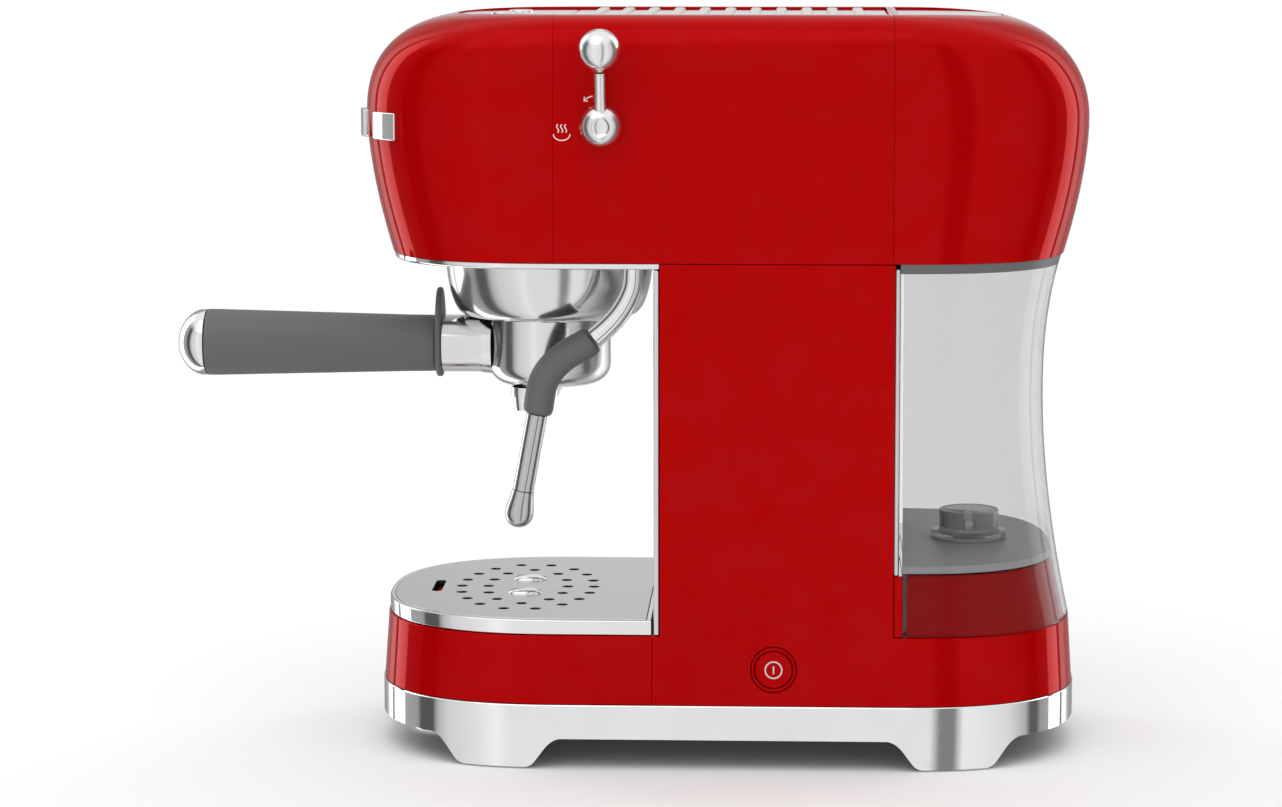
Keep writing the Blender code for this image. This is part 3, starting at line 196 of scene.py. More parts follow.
def red_gloss():
    """High-gloss moulded red that mirrors the studio faintly, with a very slight moulding ripple."""
    material, tree, shader = new_material("red_gloss", (0.43, 0.0002, 0.0008), 0.03, 0.2)
    cloud = object_noise(tree, 9.0, detail=2.0)
    tint(tree, cloud, (0.425, 0.0002, 0.0006), (0.437, 0.0003, 0.0010), shader.inputs["Base Color"])
    vary(tree, object_noise(tree, 60.0), 0.006, 0.014, shader.inputs["Roughness"])
    bump(tree, object_noise(tree, 260.0, detail=1.0), shader, 0.02, 0.01)
    shader.inputs["Specular IOR Level"].default_value = 0.04
    return material


def polished_chrome(name, low, high, shade=0.86):
    """Polished metal of one shade: low and high are the range of its roughness."""
    material, tree, shader = new_material(name, (shade, shade, shade), (low + high) / 2, 1.0)
    cloud = object_noise(tree, 30.0)
    darker, lighter = shade - 0.02, shade + 0.02
    tint(tree, cloud, (darker, darker, darker), (lighter, lighter, lighter), shader.inputs["Base Color"])
    vary(tree, object_noise(tree, 180.0, detail=6.0), low, high, shader.inputs["Roughness"])
    return material


def brushed(name, color, low, high, stretch, depth):
    """Brushed metal: noise drawn out along the brushing, in tone, roughness and relief."""
    material, tree, shader = new_material(name, color, (low + high) / 2, 1.0)
    grain = object_noise(tree, 1600.0, stretch, detail=4.0, roughness=0.7)
    darker = tuple(channel * 0.93 for channel in color)
    tint(tree, grain, darker, color, shader.inputs["Base Color"])
    vary(tree, grain, low, high, shader.inputs["Roughness"])
    bump(tree, grain, shader, 0.25, depth)
    return material


def moulded(name, color, low, high, grain_scale, strength, depth):
    """Moulded plastic or rubber with a fine grain."""
    material, tree, shader = new_material(name, color, (low + high) / 2)
    lighter = tuple(min(channel * 1.04, 1.0) for channel in color)
    tint(tree, object_noise(tree, 25.0), color, lighter, shader.inputs["Base Color"])
    grain = object_noise(tree, grain_scale, detail=4.0)
    vary(tree, grain, low, high, shader.inputs["Roughness"])
    bump(tree, grain, shader, strength, depth)
    return material


def smoked_clear():
    """Smoked clear plastic, a little hazy where it was moulded."""
    material, tree, shader = new_material("smoked_clear", (0.77, 0.77, 0.775), 0.02)
    vary(tree, object_noise(tree, 20.0), 0.0, 0.02, shader.inputs["Roughness"])
    shader.inputs["Transmission Weight"].default_value = 1.0
    shader.inputs["IOR"].default_value = 1.15
    return material


def clear_grey():
    """Tinted clear plastic for the valve in the tank."""
    material, tree, shader = new_material("clear_grey", (0.72, 0.72, 0.73), 0.08)
    vary(tree, object_noise(tree, 120.0), 0.04, 0.14, shader.inputs["Roughness"])
    shader.inputs["Transmission Weight"].default_value = 0.75
    shader.inputs["IOR"].default_value = 1.35
    return material


def cast_metal():
    material, tree, shader = new_material("cast_metal", (0.55, 0.56, 0.57), 0.45, 1.0)
    grain = object_noise(tree, 900.0, detail=5.0)
    vary(tree, grain, 0.38, 0.55, shader.inputs["Roughness"])
    bump(tree, grain, shader, 0.4, 0.15)
    return material


def machined_brass():
    material, tree, shader = new_material("machined_brass", (0.72, 0.52, 0.22), 0.25, 1.0)
    vary(tree, object_noise(tree, 300.0, (1.0, 1.0, 8.0)), 0.18, 0.34, shader.inputs["Roughness"])
    return material


def circuit_green():
    material, tree, shader = new_material("circuit_green", (0.02, 0.16, 0.06), 0.45)
    cloud = object_noise(tree, 220.0)
    tint(tree, cloud, (0.015, 0.12, 0.05), (0.03, 0.20, 0.08), shader.inputs["Base Color"])
    return material


def make_materials():
    return {
        "red": red_gloss(),
        "chrome": polished_chrome("polished_chrome", 0.04, 0.09),
        "soft_chrome": polished_chrome("soft_chrome", 0.17, 0.22),
        "bowl_chrome": polished_chrome("bowl_chrome", 0.12, 0.17, 0.80),
        # the wand's metal is a darker copy of the chrome: painted shade for its dark sides
        "wand_steel": polished_chrome("wand_steel", 0.10, 0.15, 0.56),
        "steel": brushed("brushed_steel", (0.72, 0.72, 0.72), 0.24, 0.30, (1.0, 0.03, 1.0), 0.0015),
        "panel": brushed("brushed_panel", (0.80, 0.80, 0.80), 0.22, 0.34, (1.0, 1.0, 0.03), 0.01),
        "plate": brushed("satin_plate", (0.93, 0.93, 0.93), 0.30, 0.42, (0.03, 1.0, 1.0), 0.01),
        "grey": moulded("soft_grey", (0.115, 0.115, 0.118), 0.42, 0.55, 1800.0, 0.25, 0.04),
        "black": moulded("black_plastic", (0.018, 0.018, 0.018), 0.35, 0.5, 1500.0, 0.2, 0.03),
        "rubber": moulded("dark_rubber", (0.025, 0.025, 0.025), 0.65, 0.85, 1200.0, 0.3, 0.05),
        "trim": moulded("light_trim", (0.62, 0.62, 0.62), 0.22, 0.32, 1500.0, 0.05, 0.02),
        "tank": smoked_clear(),
        "smoke": clear_grey(),
        "haze": moulded("hazy_grey", (0.52, 0.52, 0.525), 0.34, 0.36, 300.0, 0.0, 0.01),
        "cast": cast_metal(),
        "brass": machined_brass(),
        "board": circuit_green(),
        "hose": moulded("silicone_hose", (0.72, 0.72, 0.69), 0.42, 0.6, 900.0, 0.15, 0.03),
        "ink": moulded("pale_print", (0.80, 0.76, 0.72), 0.30, 0.42, 1500.0, 0.05, 0.01),
    }


MATERIALS = make_materials()
for subpart in frame["record"]["subparts"]:
    node = frame["nodes"][subpart["node"]]
    node.data.materials.clear()
    node.data.materials.append(MATERIALS[subpart["material_slot"]])


# ---------------------------------------------------------------- stage, light and camera

FLOOR_HALF = 40.0           # metres, so that its edge is past every view
CAMERA_PLACE = (1.5741, 0.0762, 0.3793)
CAMERA_PITCH = math.radians(6.555)
CAMERA_YAW = math.radians(2.157)
CAMERA_LENS = 99.37
CAMERA_SHIFT = (-0.02, -0.08)


def make_floor():
    mesh_bm = bmesh.new()
    bmesh.ops.create_grid(mesh_bm, x_segments=2, y_segments=2, size=FLOOR_HALF)
    mesh = bpy.data.meshes.new("floor")
    mesh_bm.to_mesh(mesh)
    mesh_bm.free()
    floor = bpy.data.objects.new("floor", mesh)
    bpy.context.scene.collection.objects.link(floor)
    material, tree, shader = new_material("pale_floor", (0.86, 0.86, 0.86), 0.8)
    vary(tree, object_noise(tree, 3.0), 0.75, 0.85, shader.inputs["Roughness"])
    shader.inputs["Specular IOR Level"].default_value = 0.0
    mesh.materials.append(material)
    floor.visible_glossy = False


def soft_light(name, place, target, size, power):
    light = bpy.data.lights.new(name, "AREA")
    light.shape = "RECTANGLE"
    light.size, light.size_y = size
    light.energy = power
    lamp = bpy.data.objects.new(name, light)
    lamp.location = place
    lamp.rotation_euler = (Vector(target) - Vector(place)).to_track_quat("-Z", "Y").to_euler()
    bpy.context.scene.collection.objects.link(lamp)


SURROUND_FRONT = (
    (0, 0.86), (20, 0.88), (26, 1.00), (36, 0.86), (58, 0.72), (68, 0.50), (73, 0.10), (87, 0.10), (91, 0.35),
    (110, 0.42), (112, 2.80), (129, 2.60), (131, 0.15), (134, 0.15), (136, 1.60), (143, 1.20), (150, 0.40),
    (166, 0.30), (171, 0.50), (176, 0.70), (180, 0.70),
)
SURROUND_REAR = (
    (0, 0.86), (13, 0.88), (17, 0.24), (24, 0.24), (29, 0.94), (60, 0.80), (78, 0.50), (84, 0.12), (92, 0.12),
    (97, 0.35), (109, 0.42), (111, 2.80), (128, 2.60), (130, 0.15), (133, 0.15), (135, 1.60), (143, 1.10),
    (150, 0.40), (166, 0.30), (171, 0.50), (176, 0.70), (180, 0.70),
)
OVERHEAD = 1.45
OVERHEAD_MIRRORED = 0.95
SEEN_THROUGH = 0.80
WORLD_STRENGTH = 4.0        # a colour ramp stops at 1, so the levels are stored divided by this


def surround_ramp(tree, stops, share):
    """Brightness of the studio's walls by the angle away from +X, where the camera stands."""
    ramp = tree.nodes.new("ShaderNodeValToRGB")
    elements = ramp.color_ramp.elements
    while len(elements) > 1:
        elements.remove(elements[-1])
    for i, (angle, level) in enumerate(stops):
        element = elements[0] if i == 0 else elements.new(angle / 180)
        element.position = angle / 180
        grey = level / WORLD_STRENGTH
        element.color = (grey, grey, grey, 1.0)
    tree.links.new(share, ramp.inputs["Fac"])
    return ramp.outputs["Color"]


def math_node(tree, operation, *values):
    node = tree.nodes.new("ShaderNodeMath")
    node.operation = operation
    for socket, value in zip(node.inputs, values):
        if isinstance(value, (int, float)):
            socket.default_value = value
        else:
            tree.links.new(value, socket)
    return node.outputs["Value"]


def mix_color(tree, factor, first, second):
    node = tree.nodes.new("ShaderNodeMix")
    node.data_type = "RGBA"
    tree.links.new(factor, node.inputs["Factor"])
    for socket, value in ((node.inputs[6], first), (node.inputs[7], second)):
        if isinstance(value, float):
            socket.default_value = (value, value, value, 1.0)
        else:
            tree.links.new(value, socket)
    return node.outputs[2]


def make_light():
    """A studio: soft light overhead, bright and dark bands up its walls, white where the camera looks."""
    world = bpy.data.worlds.new("studio")
    world.use_nodes = True
    tree = world.node_tree
    place = tree.nodes.new("ShaderNodeTexCoord")
    axes = tree.nodes.new("ShaderNodeSeparateXYZ")
    tree.links.new(place.outputs["Generated"], axes.inputs["Vector"])
    across = math_node(tree, "POWER", math_node(tree, "ABSOLUTE", axes.outputs["Y"]), 2.0)
    across = math_node(tree, "ADD", across, 1e-6)
    flat = math_node(tree, "SQRT", math_node(
        tree, "ADD", math_node(tree, "POWER", axes.outputs["X"], 2.0), across,
    ))
    share = math_node(tree, "DIVIDE", math_node(
        tree, "ARCCOSINE", math_node(tree, "DIVIDE", axes.outputs["X"], flat)), math.pi)
    front = surround_ramp(tree, SURROUND_FRONT, share)
    rear = surround_ramp(tree, SURROUND_REAR, share)
    is_rear = math_node(tree, "GREATER_THAN", axes.outputs["Y"], 0.0)
    walls = mix_color(tree, is_rear, front, rear)
    spread = tree.nodes.new("ShaderNodeMapRange")
    spread.interpolation_type = "SMOOTHSTEP"
    spread.inputs["From Min"].default_value = 0.50
    spread.inputs["From Max"].default_value = 0.80
    tree.links.new(axes.outputs["Z"], spread.inputs["Value"])
    path = tree.nodes.new("ShaderNodeLightPath")
    above = mix_color(
        tree, path.outputs["Is Glossy Ray"], OVERHEAD / WORLD_STRENGTH, OVERHEAD_MIRRORED / WORLD_STRENGTH,
    )
    room = mix_color(tree, spread.outputs["Result"], walls, above)
    room = mix_color(tree, path.outputs["Is Transmission Ray"], room, SEEN_THROUGH / WORLD_STRENGTH)
    room = mix_color(tree, path.outputs["Is Camera Ray"], room, 1.0 / WORLD_STRENGTH)
    surround = tree.nodes["Background"]
    surround.inputs["Strength"].default_value = WORLD_STRENGTH
    tree.links.new(room, surround.inputs["Color"])
    bpy.context.scene.world = world
    bpy.context.scene.view_settings.view_transform = "Standard"
    soft_light("key_above", (0.9, -0.5, 1.9), (0, 0.05, 0.1), (1.6, 1.6), 4.0)


def make_camera():
    """The photograph's angle: almost level, with a small shift that keeps the uprights upright."""
    camera_data = bpy.data.cameras.new("camera")
    camera_data.lens = CAMERA_LENS
    camera_data.sensor_width = 36.0
    camera_data.shift_x, camera_data.shift_y = CAMERA_SHIFT
    camera = bpy.data.objects.new("camera", camera_data)
    camera.location = CAMERA_PLACE
    level = math.cos(CAMERA_PITCH)
    ahead = Vector((-level * math.cos(CAMERA_YAW), -level * math.sin(CAMERA_YAW), -math.sin(CAMERA_PITCH)))
    camera.rotation_euler = ahead.to_track_quat("-Z", "Y").to_euler()
    bpy.context.scene.collection.objects.link(camera)
    bpy.context.scene.camera = camera


# ---------------------------------------------------------------- mesh helpers

ROUND_STEPS = 96
END_STEPS = 48
QUARTER = math.radians(90)


def steps_between(low, high, count):
    return [low + (high - low) * i / count for i in range(count + 1)]


def angles_round(count):
    """Evenly spaced angles once round."""
    return [2 * math.pi * i / count for i in range(count)]


def to_frame(point):
    return Vector(point) * MM + ORIGIN


def mesh_object(name, mesh_bm):
    """Turns a bmesh drawn in machine millimetres into an object in the frame's metres."""
    bmesh.ops.recalc_face_normals(mesh_bm, faces=mesh_bm.faces)
    for vertex in mesh_bm.verts:
        vertex.co = to_frame(vertex.co)
    mesh = bpy.data.meshes.new(name)
    mesh_bm.to_mesh(mesh)
    mesh_bm.free()
    made = bpy.data.objects.new(name, mesh)
    bpy.context.scene.collection.objects.link(made)
    return made


NODE_SLOT = {subpart["node"]: subpart["material_slot"] for subpart in frame["record"]["subparts"]}
NODE_BODY = {
    node: body for body, nodes in frame["record"]["behaviour"]["bodies"].items() for node in nodes
}


def finish_piece(made, material, **edges):
    """Finishes a piece that stands for the CAD node it is named after."""
    node = made.name.split(".")[0]
    finish_extra(made, material, NODE_BODY[node], NODE_SLOT[node], **edges)
    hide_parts(node)


def finish_extra(made, material, body, slot, edge=0.4, segments=3, sharp=32.0):
    """Rounds a piece's edges, gives it its finish and lets it ride on its body."""
    made.data.materials.clear()
    made.data.materials.append(MATERIALS[material])
    if edge:
        rounding = made.modifiers.new("round_edges", "BEVEL")
        rounding.width = edge * MM
        rounding.segments = segments
        rounding.limit_method = "ANGLE"
        rounding.angle_limit = math.radians(sharp)
        rounding.miter_outer = "MITER_ARC"
    apply_modifiers(made)
    made.data.shade_smooth()
    made.data.set_sharp_from_angle(angle=math.radians(sharp))
    even = made.modifiers.new("even_normals", "WEIGHTED_NORMAL")
    even.keep_sharp = True
    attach(made, body)


def apply_modifiers(made):
    """Bakes the modifiers into the mesh."""
    bpy.context.view_layer.update()
    graph = bpy.context.evaluated_depsgraph_get()
    mesh = bpy.data.meshes.new_from_object(made.evaluated_get(graph))
    made.modifiers.clear()
    made.data = mesh


def cut(made, operation, *others):
    """Applies exact Booleans at once and removes the helpers."""
    for other in others:
        modifier = made.modifiers.new(operation, "BOOLEAN")
        modifier.operation = operation
        modifier.object = other
        modifier.solver = "EXACT"
        apply_modifiers(made)
        bpy.data.objects.remove(other, do_unlink=True)
    return made


def skin_loops(mesh_bm, loops, ring=False):
    """Joins outlines of equal length into one closed surface, capped at both ends or joined as a ring."""
    rows = [[mesh_bm.verts.new(point) for point in loop] for loop in loops]
    count = len(rows[0])
    pairs = list(zip(rows, rows[1:]))
    if ring:
        pairs.append((rows[-1], rows[0]))
    else:
        mesh_bm.faces.new(rows[0][::-1])
        mesh_bm.faces.new(rows[-1])
    for lower, upper in pairs:
        for i in range(count):
            j = (i + 1) % count
            mesh_bm.faces.new((lower[i], lower[j], upper[j], upper[i]))


def lofted(name, loops, ring=False):
    mesh_bm = bmesh.new()
    skin_loops(mesh_bm, loops, ring)
    return mesh_object(name, mesh_bm)


def turn_profile(mesh_bm, profile, steps, matrix, closed=False):
    """Turns (radius, height) points about Z and moves the result by the matrix."""
    rows = []
    for radius, height in profile:
        angles = angles_round(steps) if radius else [0.0]
        ring = [matrix @ Vector((radius * math.cos(a), radius * math.sin(a), height)) for a in angles]
        rows.append([mesh_bm.verts.new(point) for point in ring])
    pairs = list(zip(rows, rows[1:]))
    if closed:
        pairs.append((rows[-1], rows[0]))
    for lower, upper in pairs:
        for i in range(steps):
            j = (i + 1) % steps
            below, above = len(lower), len(upper)
            corners = [lower[i % below], lower[j % below], upper[j % above], upper[i % above]]
            unique = list(dict.fromkeys(corners))
            if len(unique) > 2:
                mesh_bm.faces.new(unique)


def turned(name, profile, at=(0, 0, 0), axis=(0, 0, 1), steps=ROUND_STEPS, closed=False):
    """A solid of revolution about an axis through a point; closed joins the profile's ends as a ring."""
    mesh_bm = bmesh.new()
    rotation = Vector((0, 0, 1)).rotation_difference(Vector(axis)).to_matrix().to_4x4()
    turn_profile(mesh_bm, profile, steps, Matrix.Translation(at) @ rotation, closed)
    return mesh_object(name, mesh_bm)


def bar_profile(radius, low, high):
    """The profile of a plain round bar between two heights."""
    return [(0, low), (radius, low), (radius, high), (0, high)]


def ball_profile(radius, middle, start, steps):
    """The profile of a ball; start is the angle from its pole to its first ring."""
    rings = steps_between(start, math.pi - start, steps)
    rings = [(radius * math.sin(a), middle - radius * math.cos(a)) for a in rings]
    return [(0, middle - radius), *rings, (0, middle + radius)]


def boxed(name, low, high):
    mesh_bm = bmesh.new()
    size = Vector(high) - Vector(low)
    bmesh.ops.create_cube(mesh_bm, size=1.0)
    bmesh.ops.scale(mesh_bm, verts=mesh_bm.verts, vec=size)
    bmesh.ops.translate(mesh_bm, verts=mesh_bm.verts, vec=(Vector(low) + Vector(high)) / 2)
    return mesh_object(name, mesh_bm)


def smooth_path(points, steps):
    """Catmull-Rom points through a route's own points."""
    route = [Vector(point) for point in points]
    route = [2 * route[0] - route[1], *route, 2 * route[-1] - route[-2]]
    path = []
    for a, b, c, d in zip(route, route[1:], route[2:], route[3:]):
        for i in range(steps):
            t = i / steps
            path.append(
                0.5 * (2 * b + (c - a) * t + (2 * a - 5 * b + 4 * c - d) * t * t
                       + (3 * b - a - 3 * c + d) * t ** 3)
            )
    path.append(route[-2])
    return path


def tube_along(name, path, radius, sides=32):
    """A round bar along the points of a path; radius is a number or a function of the share of the way."""
    loops = []
    side = (path[1] - path[0]).orthogonal().normalized()
    for i, center in enumerate(path):
        ahead = (path[min(i + 1, len(path) - 1)] - path[max(i - 1, 0)]).normalized()
        side = (side - ahead * side.dot(ahead)).normalized()
        across = ahead.cross(side)
        wide = radius(i / (len(path) - 1)) if callable(radius) else radius
        loops.append([
            center + wide * (math.cos(a) * side + math.sin(a) * across) for a in angles_round(sides)
        ])
    return lofted(name, loops)


# ---------------------------------------------------------------- outlines

def end_arc(half_width, tip, center, z, rear):
    """The superellipse end of a plan outline, from side to side."""
    sign = 1.0 if rear else -1.0
    arc = []
    for i in range(END_STEPS + 1):
        angle = math.pi * i / END_STEPS
        cosine = math.cos(angle)
        across = math.copysign(abs(cosine) ** (2 / END_POWER), cosine)
        along = max(math.sin(angle), 0.0) ** (2 / END_POWER)
        arc.append(Vector((-sign * half_width * across, sign * (center + (tip - center) * along), z)))
    return arc


def full_outline(half_width, front, rear, z, center=END_CENTER):
    return [*end_arc(half_width, front, center, z, False), *end_arc(half_width, rear, center, z, True)]


def front_outline(half_width, front, back, z, center=END_CENTER):
    corners = [Vector((-half_width, back, z)), Vector((half_width, back, z))]
    return [*end_arc(half_width, front, center, z, False), *corners]


def rear_outline(half_width, front, rear, z, center=END_CENTER):
    center = max(center, front + 0.5)
    corners = [Vector((half_width, front, z)), Vector((-half_width, front, z))]
    return [*corners, *end_arc(half_width, rear, center, z, True)]


def head_half_width(z):
    rise = max(z - (HEAD_TOP - HEAD_SHOULDER), 0.0) / HEAD_SHOULDER
    return HALF_WIDTH - HEAD_SHOULDER * (1 - math.sqrt(max(1 - rise ** 2, 0.0)))


def head_tip(z, widest, bulge, power):
    if z <= bulge:
        return widest - LEAN * (bulge - z) ** LEAN_POWER
    rise = min((z - bulge) / (HEAD_TOP - bulge), 1.0)
    return widest - HEAD_CROWN * (1 - (1 - rise ** power) ** (1 / power))


def head_outline(z, inset=0.0, at=None):
    half_width = head_half_width(z) - inset
    front = head_tip(z, -FRONT_COVER[0].y, BULGE_FRONT, CROWN_POWER_FRONT) - inset
    rear = head_tip(z, LID[1].y, BULGE_REAR, CROWN_POWER_REAR) - inset
    center = HEAD_CENTER - (HALF_WIDTH - head_half_width(z))
    return full_outline(half_width, front, rear, z if at is None else at, center)


def tank_tip(z):
    out, height, power = TANK_FLARE_UP if z >= TANK_WAIST_Z else TANK_FLARE_DOWN
    return TANK_WAIST_Y + out * (abs(z - TANK_WAIST_Z) / height) ** power


# ---------------------------------------------------------------- head

LOW_STEPS = 10
CROWN_STEPS = 26


def head_levels():
    """Heights up the head, closer together where it rounds over."""
    lower = steps_between(HEAD_BOTTOM, BULGE_FRONT, LOW_STEPS)
    rise = HEAD_TOP - BULGE_FRONT
    return lower + [BULGE_FRONT + rise * math.sin(a) for a in steps_between(0, QUARTER, CROWN_STEPS)[1:]]


def head_cavity(start, end):
    """The hollow inside the head between two values of Y."""
    loops = [head_outline(HEAD_BOTTOM, HEAD_WALL, HEAD_BOTTOM - 5)]
    for z in head_levels()[2:-3]:
        rise = max(z - BULGE_FRONT - 2, 0.0) / (HEAD_TOP - BULGE_FRONT - 2)
        loops.append(head_outline(z, HEAD_WALL, z - 3.2 * rise))
    cavity = lofted("cavity", loops)
    return cut(cavity, "INTERSECT", boxed("slab", (-FAR, start, 200), (FAR, end, 340)))


def plate_pocket(start, end):
    """The shallow pocket in the head's top for the plates."""
    loops = []
    for z in (PLATE_FLOOR, HEAD_TOP + 5):
        loops.append(full_outline(
            CUP_PLATE[1].x + POCKET_CLEARANCE, -CONTROL_PLATE[0].y + POCKET_CLEARANCE,
            LID_PLATE[1].y + POCKET_CLEARANCE, z, HEAD_CENTER,
        ))
    pocket = lofted("pocket", loops)
    return cut(pocket, "INTERSECT", boxed("slab", (-FAR, start, 300), (FAR, end, 340)))


def head_cover(name, outside, inside, pocket, drill=None):
    cover = lofted(name, [head_outline(z) for z in head_levels()])
    cut(cover, "INTERSECT", boxed("slab", (-FAR, outside[0], 200), (FAR, outside[1], 340)))
    cut(cover, "DIFFERENCE", head_cavity(*inside), plate_pocket(*pocket))
    if drill:
        cut(cover, "DIFFERENCE", drill)
    finish_piece(cover, "red", edge=0.12, segments=2, sharp=38.0)


def drill_holes(places, radius, low, high):
    """Upright cutters for round holes at (X, Y) places."""
    mesh_bm = bmesh.new()
    for x, y in places:
        turn_profile(mesh_bm, bar_profile(radius, low, high), 40, Matrix.Translation((x, y, 0)))
    return mesh_object("drill", mesh_bm)


def button_places():
    nodes = ("one_cup_button_cap", "two_cup_button_cap", "steam_button_cap")
    corners = [box_mm(node) for node in nodes]
    return {node: ((low.x + high.x) / 2, (low.y + high.y) / 2) for node, (low, high) in zip(nodes, corners)}


def build_head():
    everywhere = (-FAR, FAR)
    front_seam = (FRONT_COVER[1].y + MIDDLE_COVER[0].y) / 2
    rear_seam = (MIDDLE_COVER[1].y + LID[0].y) / 2
    front_end = front_seam - SEAM / 2
    middle = (front_seam + SEAM / 2, rear_seam - SEAM / 2)
    lid_start = rear_seam + SEAM / 2
    head_cover(
        "head_front_cover", (-FAR, front_end), everywhere, everywhere,
        drill_holes(button_places().values(), BUTTON_HOLE, 310, 340),
    )
    lever_hole = turned("lever_hole", bar_profile(4.6, 60, 80), (0, LEVER_Y, LEVER_Z), (1, 0, 0), 40)
    head_cover(
        "head_middle_cover", middle, (-FAR, middle[1] - SHELL_WALL), (-FAR, CUP_PLATE[1].y + 0.4), lever_hole,
    )
    head_cover(
        "tank_lid", (lid_start, FAR), (lid_start + SHELL_WALL, FAR),
        (LID_PLATE[0].y - POCKET_CLEARANCE, FAR),
    )


def build_underplate():
    low, high = UNDERPLATE
    plate = lofted("head_underplate", [
        front_outline(high.x - inset, -low.y - inset, high.y, z, HEAD_CENTER)
        for inset, z in ((0.9, low.z), (0.3, low.z + 0.4), (0.0, low.z + 0.9), (0.0, high.z))
    ])
    cut(plate, "DIFFERENCE", drill_holes([(0, GROUP_Y)], 5.0, 210, 230))
    cut(plate, "DIFFERENCE", drill_holes([(WAND_X, WAND_Y)], 6.6, 210, 230))
    finish_piece(plate, "chrome", edge=0.15, segments=2)


def build_top_plates():
    low, high = CONTROL_PLATE
    control = lofted("control_plate", [
        front_outline(high.x - inset, -low.y - inset, high.y - inset, z, HEAD_CENTER)
        for inset, z in ((0.0, low.z), (0.0, high.z - 0.4), (0.4, high.z))
    ])
    cut(control, "DIFFERENCE", drill_holes(button_places().values(), BUTTON_HOLE, 310, 340))
    finish_piece(control, "plate", edge=0.15, segments=2)
    low, high = LID_PLATE
    lid_plate = lofted("lid_plate", [
        rear_outline(high.x - inset, low.y + inset, high.y - inset, z)
        for inset, z in ((0.0, low.z), (0.0, high.z - 0.4), (0.4, high.z))
    ])
    finish_piece(lid_plate, "plate", edge=0.15, segments=2)
    build_cup_plate()


RIB_COUNT = 11
RIB_PITCH = 11.6
RIB_WIDTH = 4.8
PLATE_THICKNESS = 1.4


def build_cup_plate():
    """The cup plate with its raised cross ribs, each rounded over at the top."""
    low, high = CUP_PLATE
    sheet_top = low.z + PLATE_THICKNESS
    plate = boxed("cup_plate", low, (high.x, high.y, sheet_top))
    ribs = bmesh.new()
    for i in range(RIB_COUNT):
        middle = (i - (RIB_COUNT - 1) / 2) * RIB_PITCH
        loops = []
        for z, inset in ((low.z + 0.7, 0.0), (high.z - 0.8, 0.0), (high.z - 0.3, 0.25), (high.z, 0.8)):
            x = high.x - 3.0 - inset
            y = RIB_WIDTH / 2 - inset
            loops.append([(x, middle - y, z), (x, middle + y, z), (-x, middle + y, z), (-x, middle - y, z)])
        skin_loops(ribs, loops)
    cut(plate, "UNION", mesh_object("ribs", ribs))
    finish_piece(plate, "plate", edge=0.25, segments=3, sharp=25.0)


def build_buttons():
    for node, (x, y) in button_places().items():
        low, high = box_mm(node)
        r = (high.x - low.x) / 2
        profile = [
            (0, low.z), (r, low.z), (r, high.z - 0.9), (r - 0.25, high.z - 0.4), (r - 0.8, high.z - 0.1),
            (r - 1.6, high.z), (r - 2.0, high.z - 0.12), (0, high.z - 0.3),
        ]
        cap = turned(node, profile, (x, y, 0), steps=64)
        finish_piece(cap, "chrome", edge=0.1, segments=2)


PLAQUE_MIDDLES = (54.0, 78.0, 102.0, 126.0)     # degrees round the head's front
PLAQUE_HALF = 7.0
PLAQUE_HEIGHT = 12.0
PLAQUE_SUNK, PLAQUE_PROUD = -0.4, 2.8


def build_badge():
    """Four plain plaques that follow the head's front."""
    low, high = box_mm("badge")
    z_middle = (low.z + high.z) / 2
    tip = head_tip(z_middle, -FRONT_COVER[0].y, BULGE_FRONT, CROWN_POWER_FRONT)

    plaques = bmesh.new()
    for plaque in PLAQUE_MIDDLES:
        loops = []
        for degrees in steps_between(plaque - PLAQUE_HALF, plaque + PLAQUE_HALF, 10):
            angle = math.radians(degrees)
            cosine, sine = math.cos(angle), math.sin(angle)
            across = math.copysign(abs(cosine) ** (2 / END_POWER), cosine)
            y = -(HEAD_CENTER + (tip - HEAD_CENTER) * sine ** (2 / END_POWER))
            place = Vector((HALF_WIDTH * across, y, z_middle))
            normal = Vector((
                math.copysign(abs(across) ** (END_POWER - 1), across) / HALF_WIDTH,
                -(sine ** (2 * (END_POWER - 1) / END_POWER)) / (tip - HEAD_CENTER),
                0,
            )).normalized()
            up = Vector((0, 0, PLAQUE_HEIGHT / 2))
            inner, outer = place + normal * PLAQUE_SUNK, place + normal * PLAQUE_PROUD
            loops.append([inner - up, outer - up, outer + up, inner + up])
        skin_loops(plaques, loops)
    badge = mesh_object("badge", plaques)
    finish_piece(badge, "chrome", edge=0.6, segments=4)


# ---------------------------------------------------------------- body, base and tank

